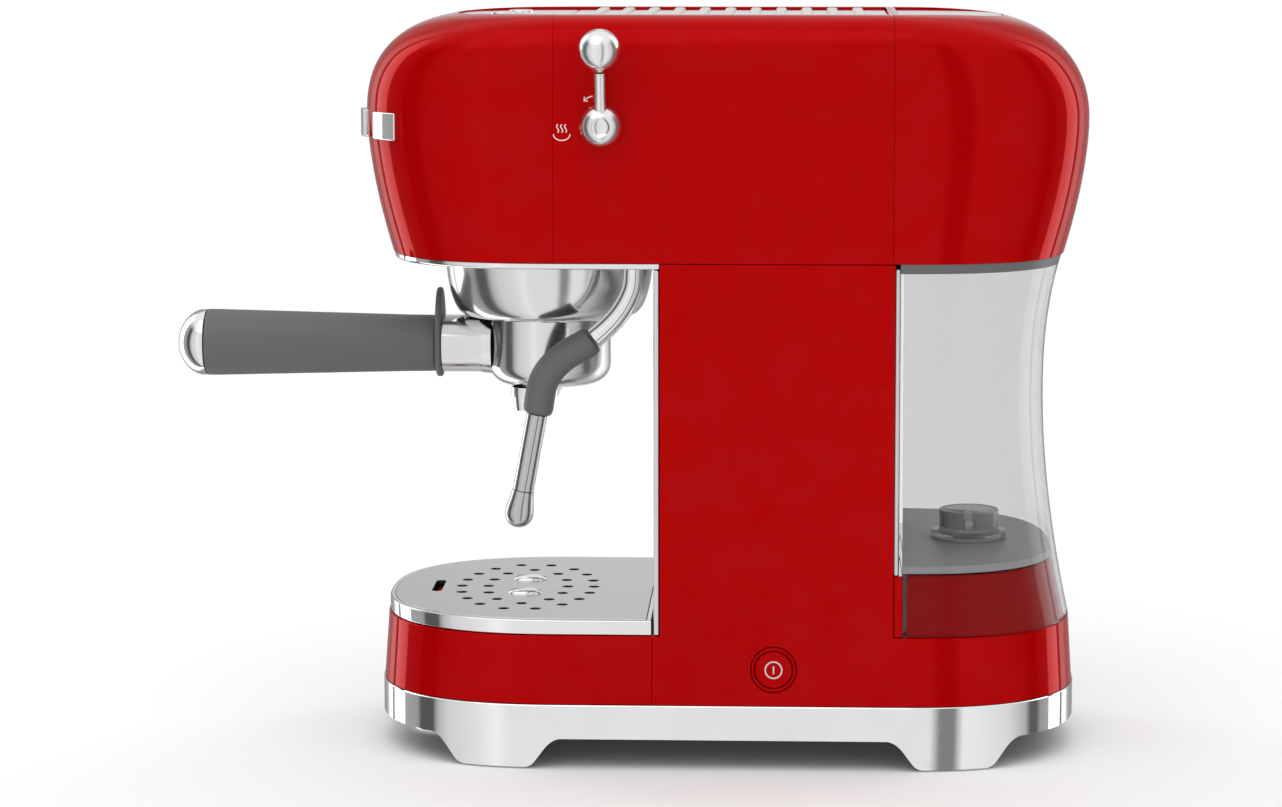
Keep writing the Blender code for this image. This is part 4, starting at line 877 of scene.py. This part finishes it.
def build_body_shell():
    """Rear band, column and tank pedestal in one red moulding, hollow and open underneath."""
    low, high = Vector((SHELL[0].x, TRAY[1].y + SEAM, SHELL[0].z)), SHELL[1]
    shell = lofted("body_shell", [
        rear_outline(half, low.y, tip, z) for half, tip, z in (
            (high.x, high.y, low.z), (HALF_WIDTH + 0.1, high.y - 1.8, BAND_TOP - 1.0),
            (HALF_WIDTH - 0.1, high.y - 2.1, BAND_TOP - 0.3), (HALF_WIDTH - 0.5, high.y - 2.6, BAND_TOP),
        )
    ])
    sunk = BAND_TOP - 4
    column = boxed("column", (-HALF_WIDTH, COLUMN_FRONT, sunk), (HALF_WIDTH, COLUMN_REAR, high.z))
    pedestal = lofted("pedestal", [
        rear_outline(HALF_WIDTH - inset, PEDESTAL_FRONT, tank_tip(z) - inset, z) for z, inset in (
            (sunk, 2.1), (75.0, 2.1), (PEDESTAL_TOP - 2, 2.1), (PEDESTAL_TOP - 0.6, 2.6), (PEDESTAL_TOP, 4.1),
        )
    ])
    cut(shell, "UNION", column, pedestal)
    wall = SHELL_WALL
    base_room = lofted("base_room", [
        rear_outline(high.x - wall, low.y + wall, high.y - wall, low.z - 4),
        rear_outline(HALF_WIDTH - wall, low.y + wall, high.y - wall - 4, BAND_TOP - wall),
    ])
    column_room = boxed(
        "column_room", (wall - HALF_WIDTH, COLUMN_FRONT + wall, BAND_TOP - 8),
        (HALF_WIDTH - wall, COLUMN_REAR - wall, high.z + 5),
    )
    inset = 2 * wall + 1.2
    pedestal_room = lofted("pedestal_room", [
        rear_outline(HALF_WIDTH - inset, PEDESTAL_FRONT + wall, tank_tip(z) - inset, z)
        for z in (BAND_TOP - 8, PEDESTAL_TOP - wall)
    ])
    seat = drill_holes([(0, VALVE_Y)], 9.5, 78, 95)
    power = turned("power_hole", bar_profile(10.2, 66, 80), (0, POWER_Y, POWER_Z), (1, 0, 0))
    cord = turned("cord_hole", bar_profile(5.6, -12, 8), CORD_PLACE, CORD_AXIS, 40)
    cut(shell, "DIFFERENCE", base_room, column_room, pedestal_room, seat, power, cord)
    finish_piece(shell, "red", edge=0.5, sharp=38.0)


def curve_through(start, corner, end, count):
    return [start * (1 - s) ** 2 + corner * 2 * s * (1 - s) + end * s * s for s in steps_between(0, 1, count)]


def foot_flank(foot_y, direction):
    """A foot's side: a rounded corner at the worktop, then a hollow curve into the skirt's lower edge."""
    slope, edge, rounding = 13.5, SKIRT_EDGE, 3.2
    low = Vector((foot_y, SKIRT[0].z))
    start = Vector((foot_y + direction * slope / 3, edge / 2))
    end = Vector((foot_y + direction * slope, edge))
    hollow = curve_through(start, Vector((foot_y + direction * slope * 2 / 3, edge)), end, 12)
    inner = low - Vector((direction * rounding, 0.02))
    corner = curve_through(inner, low, low + (start - low).normalized() * rounding, 8)
    return [inner - Vector((0, 5)), *corner, *hollow]


FRONT_FOOT = (-116.7, -84.7)
REAR_FOOT = (83.8, 116.8)


def build_base_skirt():
    low, high = SKIRT
    wall = 2.8
    loops = [
        full_outline(high.x - inset, high.y - inset, high.y - inset, z) for inset, z in (
            (0.4, low.z), (0.0, SKIRT_EDGE), (0.0, high.z - 0.4), (0.4, high.z),
            (wall, high.z), (wall, low.z),
        )
    ]
    skirt = lofted("base_skirt", loops, ring=True)
    past, below = high.y + 10, -6.0
    arches = (
        [Vector((-past, below)), *foot_flank(FRONT_FOOT[0], -1), Vector((-past, SKIRT_EDGE))],
        [*foot_flank(FRONT_FOOT[1], 1), *foot_flank(REAR_FOOT[0], -1)[::-1]],
        [Vector((past, below)), *foot_flank(REAR_FOOT[1], 1), Vector((past, SKIRT_EDGE))],
    )
    for arch in arches:
        cutter = lofted("arch", [[Vector((x, y, z)) for y, z in arch] for x in (-90.0, 90.0)])
        cut(skirt, "DIFFERENCE", cutter)
    finish_piece(skirt, "chrome", edge=0.6, sharp=38.0)


def build_feet():
    for node in ("foot_pad_front_left", "foot_pad_front_right", "foot_pad_rear_left", "foot_pad_rear_right"):
        low, high = box_mm(node)
        r = (high.x - low.x) / 2
        place = ((low.x + high.x) / 2, (low.y + high.y) / 2, 0)
        pad = turned(node, [(0, 0), (r - 0.8, 0), (r, 0.8), (r, high.z), (0, high.z)], place, steps=48)
        finish_piece(pad, "rubber", edge=0.3)
    low, high = box_mm("foot_front_center")
    place = (0, (low.y + high.y) / 2, 0)
    r = (high.x - low.x) / 2
    foot = turned("foot_front_center", bar_profile(r, low.z, high.z), place)
    finish_piece(foot, "chrome", edge=1.0)


def build_tank():
    """The clear walls, a dark grey band under the lid that is painted shade, and the hazy floor, each a piece
    of its own.
    """
    low, high = TANK
    shade_band_low = high.z - TANK_SHADE_BAND

    def walls(name, inset, levels):
        return lofted(name, [
            rear_outline(high.x - inset, low.y + inset, tank_tip(z) - inset, z) for z in levels
        ])

    tank = walls("water_tank", 0.0, steps_between(low.z, shade_band_low, 24))
    room = walls("room", TANK_WALL, [low.z - 3, *steps_between(low.z, high.z, 24), high.z + 3])
    front_gap = boxed(
        "front_gap", (-FAR, low.y - 1.0, low.z - 1.0), (FAR, low.y + TANK_WALL + 0.35, PEDESTAL_TOP - 0.2),
    )
    cut(tank, "DIFFERENCE", room, front_gap)
    finish_piece(tank, "tank", edge=0.4, sharp=38.0)
    # A dark grey band from the clear walls up to the lid: painted shade where the lid overhangs the tank.
    middle = high.z - TANK_SHADE_BAND / 2
    rim = walls("tank_rim", 0.0, (shade_band_low, middle, LID[0].z - 0.06))
    cut(rim, "DIFFERENCE", walls("rim_room", TANK_WALL, (shade_band_low - 1, middle, high.z + 1)))
    finish_extra(rim, "grey", "tank", "grey", edge=0.2, sharp=38.0)
    floor_low, floor_high = TANK_FLOOR
    floor = walls("tank_floor", TANK_WALL + 0.02, (floor_low, (floor_low + floor_high) / 2, floor_high))
    cut(floor, "DIFFERENCE", drill_holes([(0, VALVE_Y)], 5.8, 84, 96))
    finish_extra(floor, "haze", "tank", "tank", edge=0.4, sharp=38.0)


def build_tank_valve():
    """The valve cup on the tank's floor, with four slots for the water."""
    low, high = VALVE
    place = Vector((0, VALVE_Y, 0))
    rest, ledge, cup_floor = 90.8, 93.5, 95.5
    profile = [
        (0, low.z), (4.0, low.z), (5.5, low.z + 1.5), (5.5, rest), (17.0, rest), (17.0, ledge),
        (13.5, ledge + 0.8), (13.5, high.z), (11.5, high.z), (11.5, cup_floor), (0, cup_floor),
    ]
    cup = turned("tank_valve", profile, place)
    slot_low, slot_high = Vector((0, 0, cup_floor + 0.5)), Vector((0, 0, cup_floor + 4.5))
    for reach in (Vector((20, 2.2, 0)), Vector((2.2, 20, 0))):
        cut(cup, "DIFFERENCE", boxed("slot", place - reach + slot_low, place + reach + slot_high))
    finish_piece(cup, "smoke", edge=0.35)


def build_column_trim():
    low, high = PANEL
    panel = boxed("column_front_panel", low, high)
    finish_piece(panel, "panel", edge=0.7, segments=4)
    low, high = box_mm("column_rear_trim")
    trim = boxed("column_rear_trim", (low.x, low.y, PEDESTAL_TOP), (high.x, TANK[0].y - 0.2, high.z))
    finish_piece(trim, "trim", edge=0.4)
    sill = boxed("column_rear_sill", low, (high.x, TANK[0].y + TANK_WALL + 0.3, PEDESTAL_TOP - 0.4))
    finish_extra(sill, "red", "machine", "red", edge=0.3)


def build_cord_gland():
    profile = [
        (3.6, -7.0), (5.3, -7.0), (5.3, 0.5), (8.0, 0.5), (8.0, 1.9), (5.0, 2.6), (5.0, 4.8), (3.6, 4.8),
    ]
    gland = turned("cord_gland", profile, CORD_PLACE, CORD_AXIS, 48, closed=True)
    finish_piece(gland, "rubber", edge=0.35)


# ---------------------------------------------------------------- power button and printed signs

def build_power():
    place = (0, POWER_Y, POWER_Z)
    out = BEZEL[1].x
    low = BEZEL[0].x
    ring = [(8.5, low), (9.8, low), (9.8, out - 0.4), (9.4, out), (8.9, out), (8.5, out - 0.4)]
    bezel = turned("power_bezel", ring, place, (1, 0, 0), closed=True)
    finish_piece(bezel, "red", edge=0.15, segments=2)
    r = (POWER[1].y - POWER[0].y) / 2
    top = POWER[1].x
    cap_profile = [(0, POWER[0].x), (r, POWER[0].x), (r, top - 0.8), (r - 0.6, top - 0.3), (0, top - 0.3)]
    cap = turned("power_cap", cap_profile, place, (1, 0, 0))
    finish_piece(cap, "red", edge=0.2, segments=2)
    low, high = top - 0.6, top - 0.1
    ring = [(3.3, low), (3.9, low), (3.9, high), (3.3, high)]
    ring = turned("power_sign_ring", ring, place, (1, 0, 0), 64, closed=True)
    finish_extra(ring, "trim", "power_button", "trim", edge=0.0)
    bar = boxed(
        "power_sign_bar", (low, POWER_Y - 0.32, POWER_Z - 1.8), (high, POWER_Y + 0.32, POWER_Z + 1.8),
    )
    finish_extra(bar, "trim", "power_button", "trim", edge=0.15)


STROKE_WIDTH = 0.45


def printed_stroke(name, points):
    """A thin printed line on the head's side, given as (Y, Z) points."""
    path = smooth_path([(HALF_WIDTH + 0.02, y, z) for y, z in points], 6)
    stroke = tube_along(name, path, STROKE_WIDTH / 2, 8)
    for vertex in stroke.data.vertices:
        depth = vertex.co.x - (ORIGIN.x + HALF_WIDTH * MM)
        vertex.co.x -= depth * 0.85
    finish_extra(stroke, "ink", "machine", "trim", edge=0.0)


def build_signs():
    """Generic signs: rising steam over a dish beside the lever, and a small turning arrow above its boss."""
    steam_y, steam_z = LEVER_Y - 17.0, LEVER_Z - 4.0
    for i, shift in enumerate((-1.7, 0.0, 1.7)):
        waves = [(steam_y + shift + 0.45 * math.sin(k * 1.6), steam_z + 1.0 + k * 0.9) for k in range(5)]
        printed_stroke(f"steam_sign_wave_{i}", waves)
    lower_half = steps_between(math.pi, 2 * math.pi, 6)
    dish = [(steam_y + 3.6 * math.cos(a), steam_z + 0.3 + 2.6 * math.sin(a)) for a in lower_half]
    printed_stroke("steam_sign_dish", dish)
    arrow_y, arrow_z = LEVER_Y - 5.5, LEVER_Z + 11.5
    for name, line in (
        ("arrow_sign_shaft", ((1.8, 1.2), (0.0, 0.6), (-1.6, -0.6))),
        ("arrow_sign_head", ((-0.2, -1.0), (-1.8, -0.8), (-1.6, 0.9))),
    ):
        printed_stroke(name, [(arrow_y + y, arrow_z + z) for y, z in line])


# ---------------------------------------------------------------- group and portafilter

def arc_profile(radius_in, radius_out, z_low, z_high, power_out, power_down, steps):
    """A bowl's profile from its rim in and down to its foot."""
    points = []
    for angle in steps_between(0, QUARTER, steps):
        out = max(math.cos(angle), 0.0) ** power_out
        down = math.sin(angle) ** power_down
        points.append((radius_in + (radius_out - radius_in) * out, z_high - (z_high - z_low) * down))
    return points


def build_group():
    low, high = BOWL
    outer = (high.x - low.x) / 2
    bore, ceiling = 32.0, 214.0
    curve = arc_profile(36.5, outer, low.z, high.z - 2, 0.8, 1.25, 24)
    profile = [(0, high.z), (outer, high.z), *curve, (bore, low.z), (bore, ceiling), (0, ceiling)]
    bowl = turned("group_bowl", profile, (0, GROUP_Y, 0), steps=128)
    finish_piece(bowl, "bowl_chrome", edge=0.5)


def build_portafilter():
    low, high = FILTER
    outer = 27.5
    bore = outer - 2.2
    floor = low.z + 4
    base = []
    for angle in steps_between(0, QUARTER, 12):
        base.append((18.0 + (outer - 18.0) * math.sin(angle), low.z + 9 - 9 * math.cos(angle)))
    profile = [
        (3.0, low.z), *base, (outer, high.z), (bore, high.z), (bore, floor + 3), (bore - 3, floor),
        (3.0, floor),
    ]
    bowl = turned("portafilter_bowl", profile, (0, GROUP_Y, 0), steps=128, closed=True)
    for side in (1, -1):
        inner, far = (bore + 1) * side, high.x * side
        outline = ((inner, -7), (far, -6), (far, 6), (inner, 7))
        lug = lofted("lug", [[Vector((x, GROUP_Y + y, z)) for x, y in outline] for z in (196.5, 200.5)])
        cut(bowl, "UNION", lug)
    radius = 12.9
    length = GROUP_Y - low.y
    start = bore + 0.6
    neck = [
        (0, start), (radius + 0.8, start), (radius + 0.4, start + 3.5), (radius, start + 6.0),
        (radius, length), (0, length),
    ]
    cut(bowl, "UNION", turned("neck", neck, (0, GROUP_Y, HANDLE_Z), (0, -1, 0), 96))
    finish_piece(bowl, "bowl_chrome", edge=0.5, sharp=30.0)
    basket = [
        (0, 181.0), (23.4, 181.0), (24.6, 182.2), (24.6, 203.3), (27.2, 203.3), (27.2, 204.1), (23.9, 204.1),
        (23.9, 182.6), (23.0, 181.8), (0, 181.8),
    ]
    basket = turned("filter_basket", basket, (0, GROUP_Y, 0))
    finish_piece(basket, "steel", edge=0.2, segments=2)


def build_handle():
    low, high = GUARD
    half = (high.x - low.x) / 2
    up, down = high.z - HANDLE_Z, HANDLE_Z - low.z
    outline = []
    for angle in angles_round(96):
        tall = up if math.sin(angle) > 0 else down
        outline.append((half * math.cos(angle), HANDLE_Z + tall * math.sin(angle)))
    guard = lofted("hand_guard", [[Vector((x, y, z)) for x, z in outline] for y in (low.y, high.y)])
    finish_piece(guard, "grey", edge=0.9, segments=5)
    near, far = 12.6, (GRIP[1].x - GRIP[0].x) / 2
    start, end = -GRIP[1].y, -GRIP[0].y
    profile = [(0, start), (near, start), (near + 0.15, start + 3)]
    for share in steps_between(0.1, 1.0, 9):
        profile.append((near + (far - near) * share, start + 3 + (end - start - 8) * share))
    profile += [(far, end), (0, end)]
    grip = turned("handle_grip", profile, (0, 0, HANDLE_Z), (0, -1, 0))
    finish_piece(grip, "grey", edge=0.6, segments=4)
    start, tip = -CAP[1].y, -CAP[0].y
    dome = [(0, start), (far, start), (far, start + 1.2)]
    for angle in steps_between(0, QUARTER, 24)[1:-1]:
        dome.append((far * math.cos(angle), start + 1.2 + (tip - start - 1.2) * math.sin(angle) ** 1.1))
    dome.append((0, tip))
    cap = turned("handle_cap", dome, (0, 0, HANDLE_Z), (0, -1, 0))
    finish_piece(cap, "chrome", edge=0.3)


def build_spout():
    low, high = SPOUT
    spout_x, spout_y, bridge_low = 13.0, -90.6, 155.5
    outline = []
    for angle in angles_round(64):
        shift = spout_x if math.cos(angle) > 0 else -spout_x
        outline.append((shift + 7 * math.cos(angle), spout_y + 4.0 + 10.5 * math.sin(angle)))
    spout = lofted("twin_spout", [[Vector((x, y, z)) for x, y in outline] for z in (bridge_low, high.z)])
    for x in (spout_x, -spout_x):
        nozzle = [(0, low.z), (5.2, low.z), (5.7, low.z + 4), (6.2, 157.0), (0, 157.0)]
        cut(spout, "UNION", turned("nozzle", nozzle, (x, spout_y, 0), steps=64))
    cut(spout, "DIFFERENCE", drill_holes([(spout_x, spout_y), (-spout_x, spout_y)], 3.2, 140, 170))
    finish_piece(spout, "chrome", edge=0.5)


# ---------------------------------------------------------------- steam wand and lever

WAND_RADIUS = 4.6
WAND_ROUTE = (              # (Y, Z) down the bent tube, with its grip from the fourth point on
    (WAND_Y, 217.8), (-41.2, 207.5), (-47.4, 196.4), (-58.5, 185.9), (-71.3, 178.0), (-79.5, 168.2),
    (-82.6, 153.4),
)
WAND_START = Vector((WAND_X, -82.7, 153.0))
WAND_TIP = Vector((WAND_X, -92.0, 102.7))


def build_wand():
    low, high = BALL
    ball = ball_profile((high.z - low.z) / 2, (high.z + low.z) / 2, 0.1, 30)
    joint = turned("wand_joint", ball, (WAND_X, WAND_Y, 0), steps=64)
    finish_piece(joint, "chrome", edge=0.0)
    steps = 12
    path = smooth_path([(WAND_X, y, z) for y, z in WAND_ROUTE], steps)
    split = 3 * steps
    upper = tube_along("wand_upper_tube", path[:split], WAND_RADIUS)
    finish_piece(upper, "chrome", edge=0.3)

    def grip_radius(share):
        """Full along its length, drawn in a little at both mouths."""
        near_end = min(share, 1 - share) / 0.06
        return 6.6 - 0.8 * max(1 - near_end, 0.0) ** 2

    grip = tube_along("wand_grip", path[split:], grip_radius, 48)
    finish_piece(grip, "grey", edge=0.5)
    ahead = (WAND_TIP - WAND_START).normalized()
    length = (WAND_TIP - WAND_START).length
    seam = length - 16.5
    lower = turned("wand_lower_tube", bar_profile(WAND_RADIUS, 0, seam - 0.2), WAND_START, ahead, 64)
    finish_piece(lower, "wand_steel", edge=0.3)
    round_radius = 6.3
    center = length - round_radius
    nozzle = [(0, seam), (4.9, seam)]
    for share in steps_between(0.1, 1.0, 9):
        ease = share * share * (3 - 2 * share)
        nozzle.append((4.9 + (round_radius - 4.9) * ease, seam + (center - seam) * share))
    for angle in steps_between(math.radians(10), math.radians(80), 7):
        nozzle.append((round_radius * math.cos(angle), center + round_radius * math.sin(angle)))
    nozzle.append((0, length))
    bulb = turned("wand_nozzle", nozzle, WAND_START, ahead, 64)
    finish_piece(bulb, "wand_steel", edge=0.15)


BOSS_RADIUS = 9.4
BOSS_BASE = 79.0
BOSS_RISE = 8.4
BOSS_DISH = 1.3


def build_lever():
    """The lever's boss with a shallow dish in its end, the arm, and the ball at the arm's end."""
    boss = [(0, 50), (4.0, 50), (4.0, 75.4), (BOSS_RADIUS, 75.5), (BOSS_RADIUS, BOSS_BASE)]
    for angle in steps_between(0.1, 1.1, 14):
        boss.append((BOSS_RADIUS * math.cos(angle), BOSS_BASE + BOSS_RISE * math.sin(angle)))
    rim_radius, rim_top = boss[-1]
    for angle in steps_between(0.3, QUARTER, 8)[:-1]:
        boss.append((rim_radius * 0.92 * math.cos(angle), rim_top - BOSS_DISH * math.sin(angle)))
    boss.append((0.0, rim_top - BOSS_DISH))
    hub = turned("lever_hub", boss, (0, LEVER_Y, LEVER_Z), (1, 0, 0))
    foot = Vector((81.0, LEVER_Y, LEVER_Z + 1.0))
    ball = (KNOB[0] + KNOB[1]) / 2
    radius = (KNOB[1].z - KNOB[0].z) / 2
    reach = (ball - foot).length - radius - 0.3
    profile = [(0, 0), (3.4, 0), (2.9, 6), (2.6, 12), (2.6, reach), (0, reach)]
    arm = turned("arm", profile, foot, (ball - foot).normalized(), 64)
    cut(hub, "UNION", arm)
    finish_piece(hub, "soft_chrome", edge=0.35, sharp=30.0)
    knob = turned("lever_knob", ball_profile(radius, 0, 0.05, 48), ball, (1, 0, 0))
    finish_piece(knob, "soft_chrome", edge=0.0)


# ---------------------------------------------------------------- drip tray

BASIN_INSET = 2.6
BASIN_TIP = 153.5 - BASIN_INSET - 0.4
RING_Y = -91.0
HOLE_RADIUS = 2.5
OUTER_RING = (18, 52.0, 30.1)
INNER_RING = (12, 39.0, 18.1)
DRAIN_X = 16.0
DRAINS = [(DRAIN_X, RING_Y), (-DRAIN_X, RING_Y)]


def basin_outline(inset, z):
    """The basin's plan, drawn in by an inset."""
    edge = BASIN_INSET + inset
    return front_outline(HALF_WIDTH - edge, BASIN_TIP - inset, TRAY[1].y - edge, z)


def build_tray():
    low, high = TRAY
    back = high.y
    tray = lofted("tray_shell", [
        front_outline(half, tip, back, z) for half, tip, z in (
            (high.x, -low.y, low.z), (HALF_WIDTH + 0.1, -low.y - 2.1, high.z - 0.9),
            (HALF_WIDTH - 0.05, -low.y - 2.3, high.z - 0.3), (HALF_WIDTH - 0.4, -low.y - 2.6, high.z),
        )
    ])
    room = lofted("room", [
        front_outline(high.x - 2, -low.y - 2, back - 2, low.z + 2),
        front_outline(HALF_WIDTH - 2, -low.y - 4.4, back - 2, high.z + 2),
    ])
    cut(tray, "DIFFERENCE", room)
    finish_piece(tray, "red", edge=0.3, sharp=38.0)
    basin_low, basin_high = box_mm("tray_basin")
    basin = lofted("tray_basin", [basin_outline(0.0, z) for z in (basin_low.z, basin_high.z)])
    room = lofted("room", [basin_outline(1.8, z) for z in (basin_low.z + 2, basin_high.z + 3)])
    cut(basin, "DIFFERENCE", room)
    finish_piece(basin, "black", edge=0.3)
    low, high = RIM
    inner = BASIN_INSET - 0.3
    rim = lofted("tray_rim", [
        front_outline(high.x - inset, -low.y - inset, back - end, z) for inset, end, z in (
            (0.4, 0.3, low.z), (0.0, 0.3, low.z + 0.5), (0.0, 0.3, high.z - 0.8), (0.2, 0.4, high.z - 0.3),
            (0.6, 0.6, high.z), (inner - 0.2, inner, high.z), (inner - 0.2, inner, low.z),
        )
    ], ring=True)
    finish_piece(rim, "chrome", edge=0.2, segments=2)


def oval_ring_points(count, across, along):
    """Evenly spaced points on an oval, the first one at its front tip."""
    ring = []
    for angle in steps_between(0.0, 2 * math.pi, 720):
        ring.append(Vector((across * math.sin(angle), RING_Y - along * math.cos(angle))))
    lengths = [0.0]
    for a, b in zip(ring, ring[1:]):
        lengths.append(lengths[-1] + (b - a).length)
    places = []
    for k in range(count):
        wanted = lengths[-1] * k / count
        places.append(ring[min(range(len(lengths)), key=lambda i: abs(lengths[i] - wanted))])
    return places


def slot_loop(middle, half_long, half_short, z, along_y=False):
    points = []
    for angle in angles_round(40):
        shift = math.copysign(half_long - half_short, math.cos(angle))
        x, y = shift + half_short * math.cos(angle), half_short * math.sin(angle)
        if along_y:
            x, y = y, x
        points.append(Vector((middle[0] + x, middle[1] + y, z)))
    return points


def build_grate():
    """A thin steel sheet over a black core that paints the shade in the holes, pierced in two rings, with a
    long slot for the float and two drains.
    """
    low, high = GRATE
    seam = high.z - 0.45
    # the black core under the sheet is painted shade on the walls of the holes and slots
    for name, bottom, top in (("tray_grate", seam, high.z), ("tray_grate_core", low.z, seam)):
        plate = lofted(name, [
            basin_outline(inset, z)
            for inset, z in ((0.1, bottom), (0.0, bottom + 0.1), (0.0, top - 0.15), (0.15, top))
        ])
        places = oval_ring_points(*OUTER_RING) + oval_ring_points(*INNER_RING)
        cut(plate, "DIFFERENCE", drill_holes([(p.x, p.y) for p in places], HOLE_RADIUS, 60, 70))
        float_y = (FLOAT[0].y + FLOAT[1].y) / 2
        cut(plate, "DIFFERENCE", lofted("slot", [slot_loop((0, float_y), 13.0, 2.3, z) for z in (60, 70)]))
        for drain in DRAINS:
            cut(plate, "DIFFERENCE", lofted("slot", [slot_loop(drain, 6.4, 3.0, z, True) for z in (60, 70)]))
        if name == "tray_grate":
            finish_piece(plate, "steel", edge=0.0)
        else:
            finish_extra(plate, "black", "grate", "steel", edge=0.0)
    for i, (x, y) in enumerate(DRAINS):
        build_louvre(f"grate_louvre_{i}", x, high.z)


HOOD_HALF_LONG = 7.6
HOOD_HALF_WIDE = 4.8
HOOD_RISE = 2.6
HOOD_THICK = 1.3
HOOD_BACK = 1.6             # how far the closed side stands behind the slot's middle


def hood_line(shell, share, x, top):
    """Points over the hood, crest to open edge, a share of its length along; shell is the depth inside."""
    angle = math.pi * share
    sine = max(math.sin(angle), 0.0)
    y = RING_Y - (HOOD_HALF_LONG - shell) * math.cos(angle)
    tall, reach = (HOOD_RISE - shell) * sine ** 0.7, HOOD_HALF_WIDE * sine ** 0.5
    return [
        (x + reach * math.sin(a) - HOOD_BACK, y, top - 0.2 + tall * math.cos(a))
        for a in steps_between(0, QUARTER, 8)
    ]


def build_louvre(name, x, top):
    """A pressed hood over a drain slot, open on one long side."""
    mesh_bm = bmesh.new()
    grids = []
    for shell in (0.0, HOOD_THICK):
        lines = [hood_line(shell, share, x, top) for share in steps_between(0, 1, 12)]
        grids.append([[mesh_bm.verts.new(point) for point in line] for line in lines])
    outer, inner = grids
    for grid in grids:
        for a, b in zip(grid, grid[1:]):
            for j in range(8):
                mesh_bm.faces.new((a[j], b[j], b[j + 1], a[j + 1]))
    for a, b, c, d in zip(outer, outer[1:], inner, inner[1:]):
        mesh_bm.faces.new((a[0], c[0], d[0], b[0]))
        mesh_bm.faces.new((a[8], b[8], d[8], c[8]))
    for grid_a, grid_b in ((outer[0], inner[0]), (outer[-1], inner[-1])):
        for j in range(8):
            mesh_bm.faces.new((grid_a[j], grid_a[j + 1], grid_b[j + 1], grid_b[j]))
    bmesh.ops.remove_doubles(mesh_bm, verts=mesh_bm.verts, dist=0.001)
    louvre = mesh_object(name, mesh_bm)
    finish_extra(louvre, "chrome", "grate", "steel", edge=0.0)


def build_float():
    low, high = FLOAT
    float_piece = boxed("tray_float", low, high)
    finish_piece(float_piece, "red", edge=1.0, segments=4)


def build_all():
    build_head()
    build_underplate()
    build_top_plates()
    build_buttons()
    build_badge()
    build_body_shell()
    build_base_skirt()
    build_feet()
    build_tank()
    build_tank_valve()
    build_column_trim()
    build_cord_gland()
    build_power()
    build_signs()
    build_group()
    build_portafilter()
    build_handle()
    build_spout()
    build_wand()
    build_lever()
    build_tray()
    build_grate()
    build_float()


build_all()
make_floor()
make_light()
make_camera()
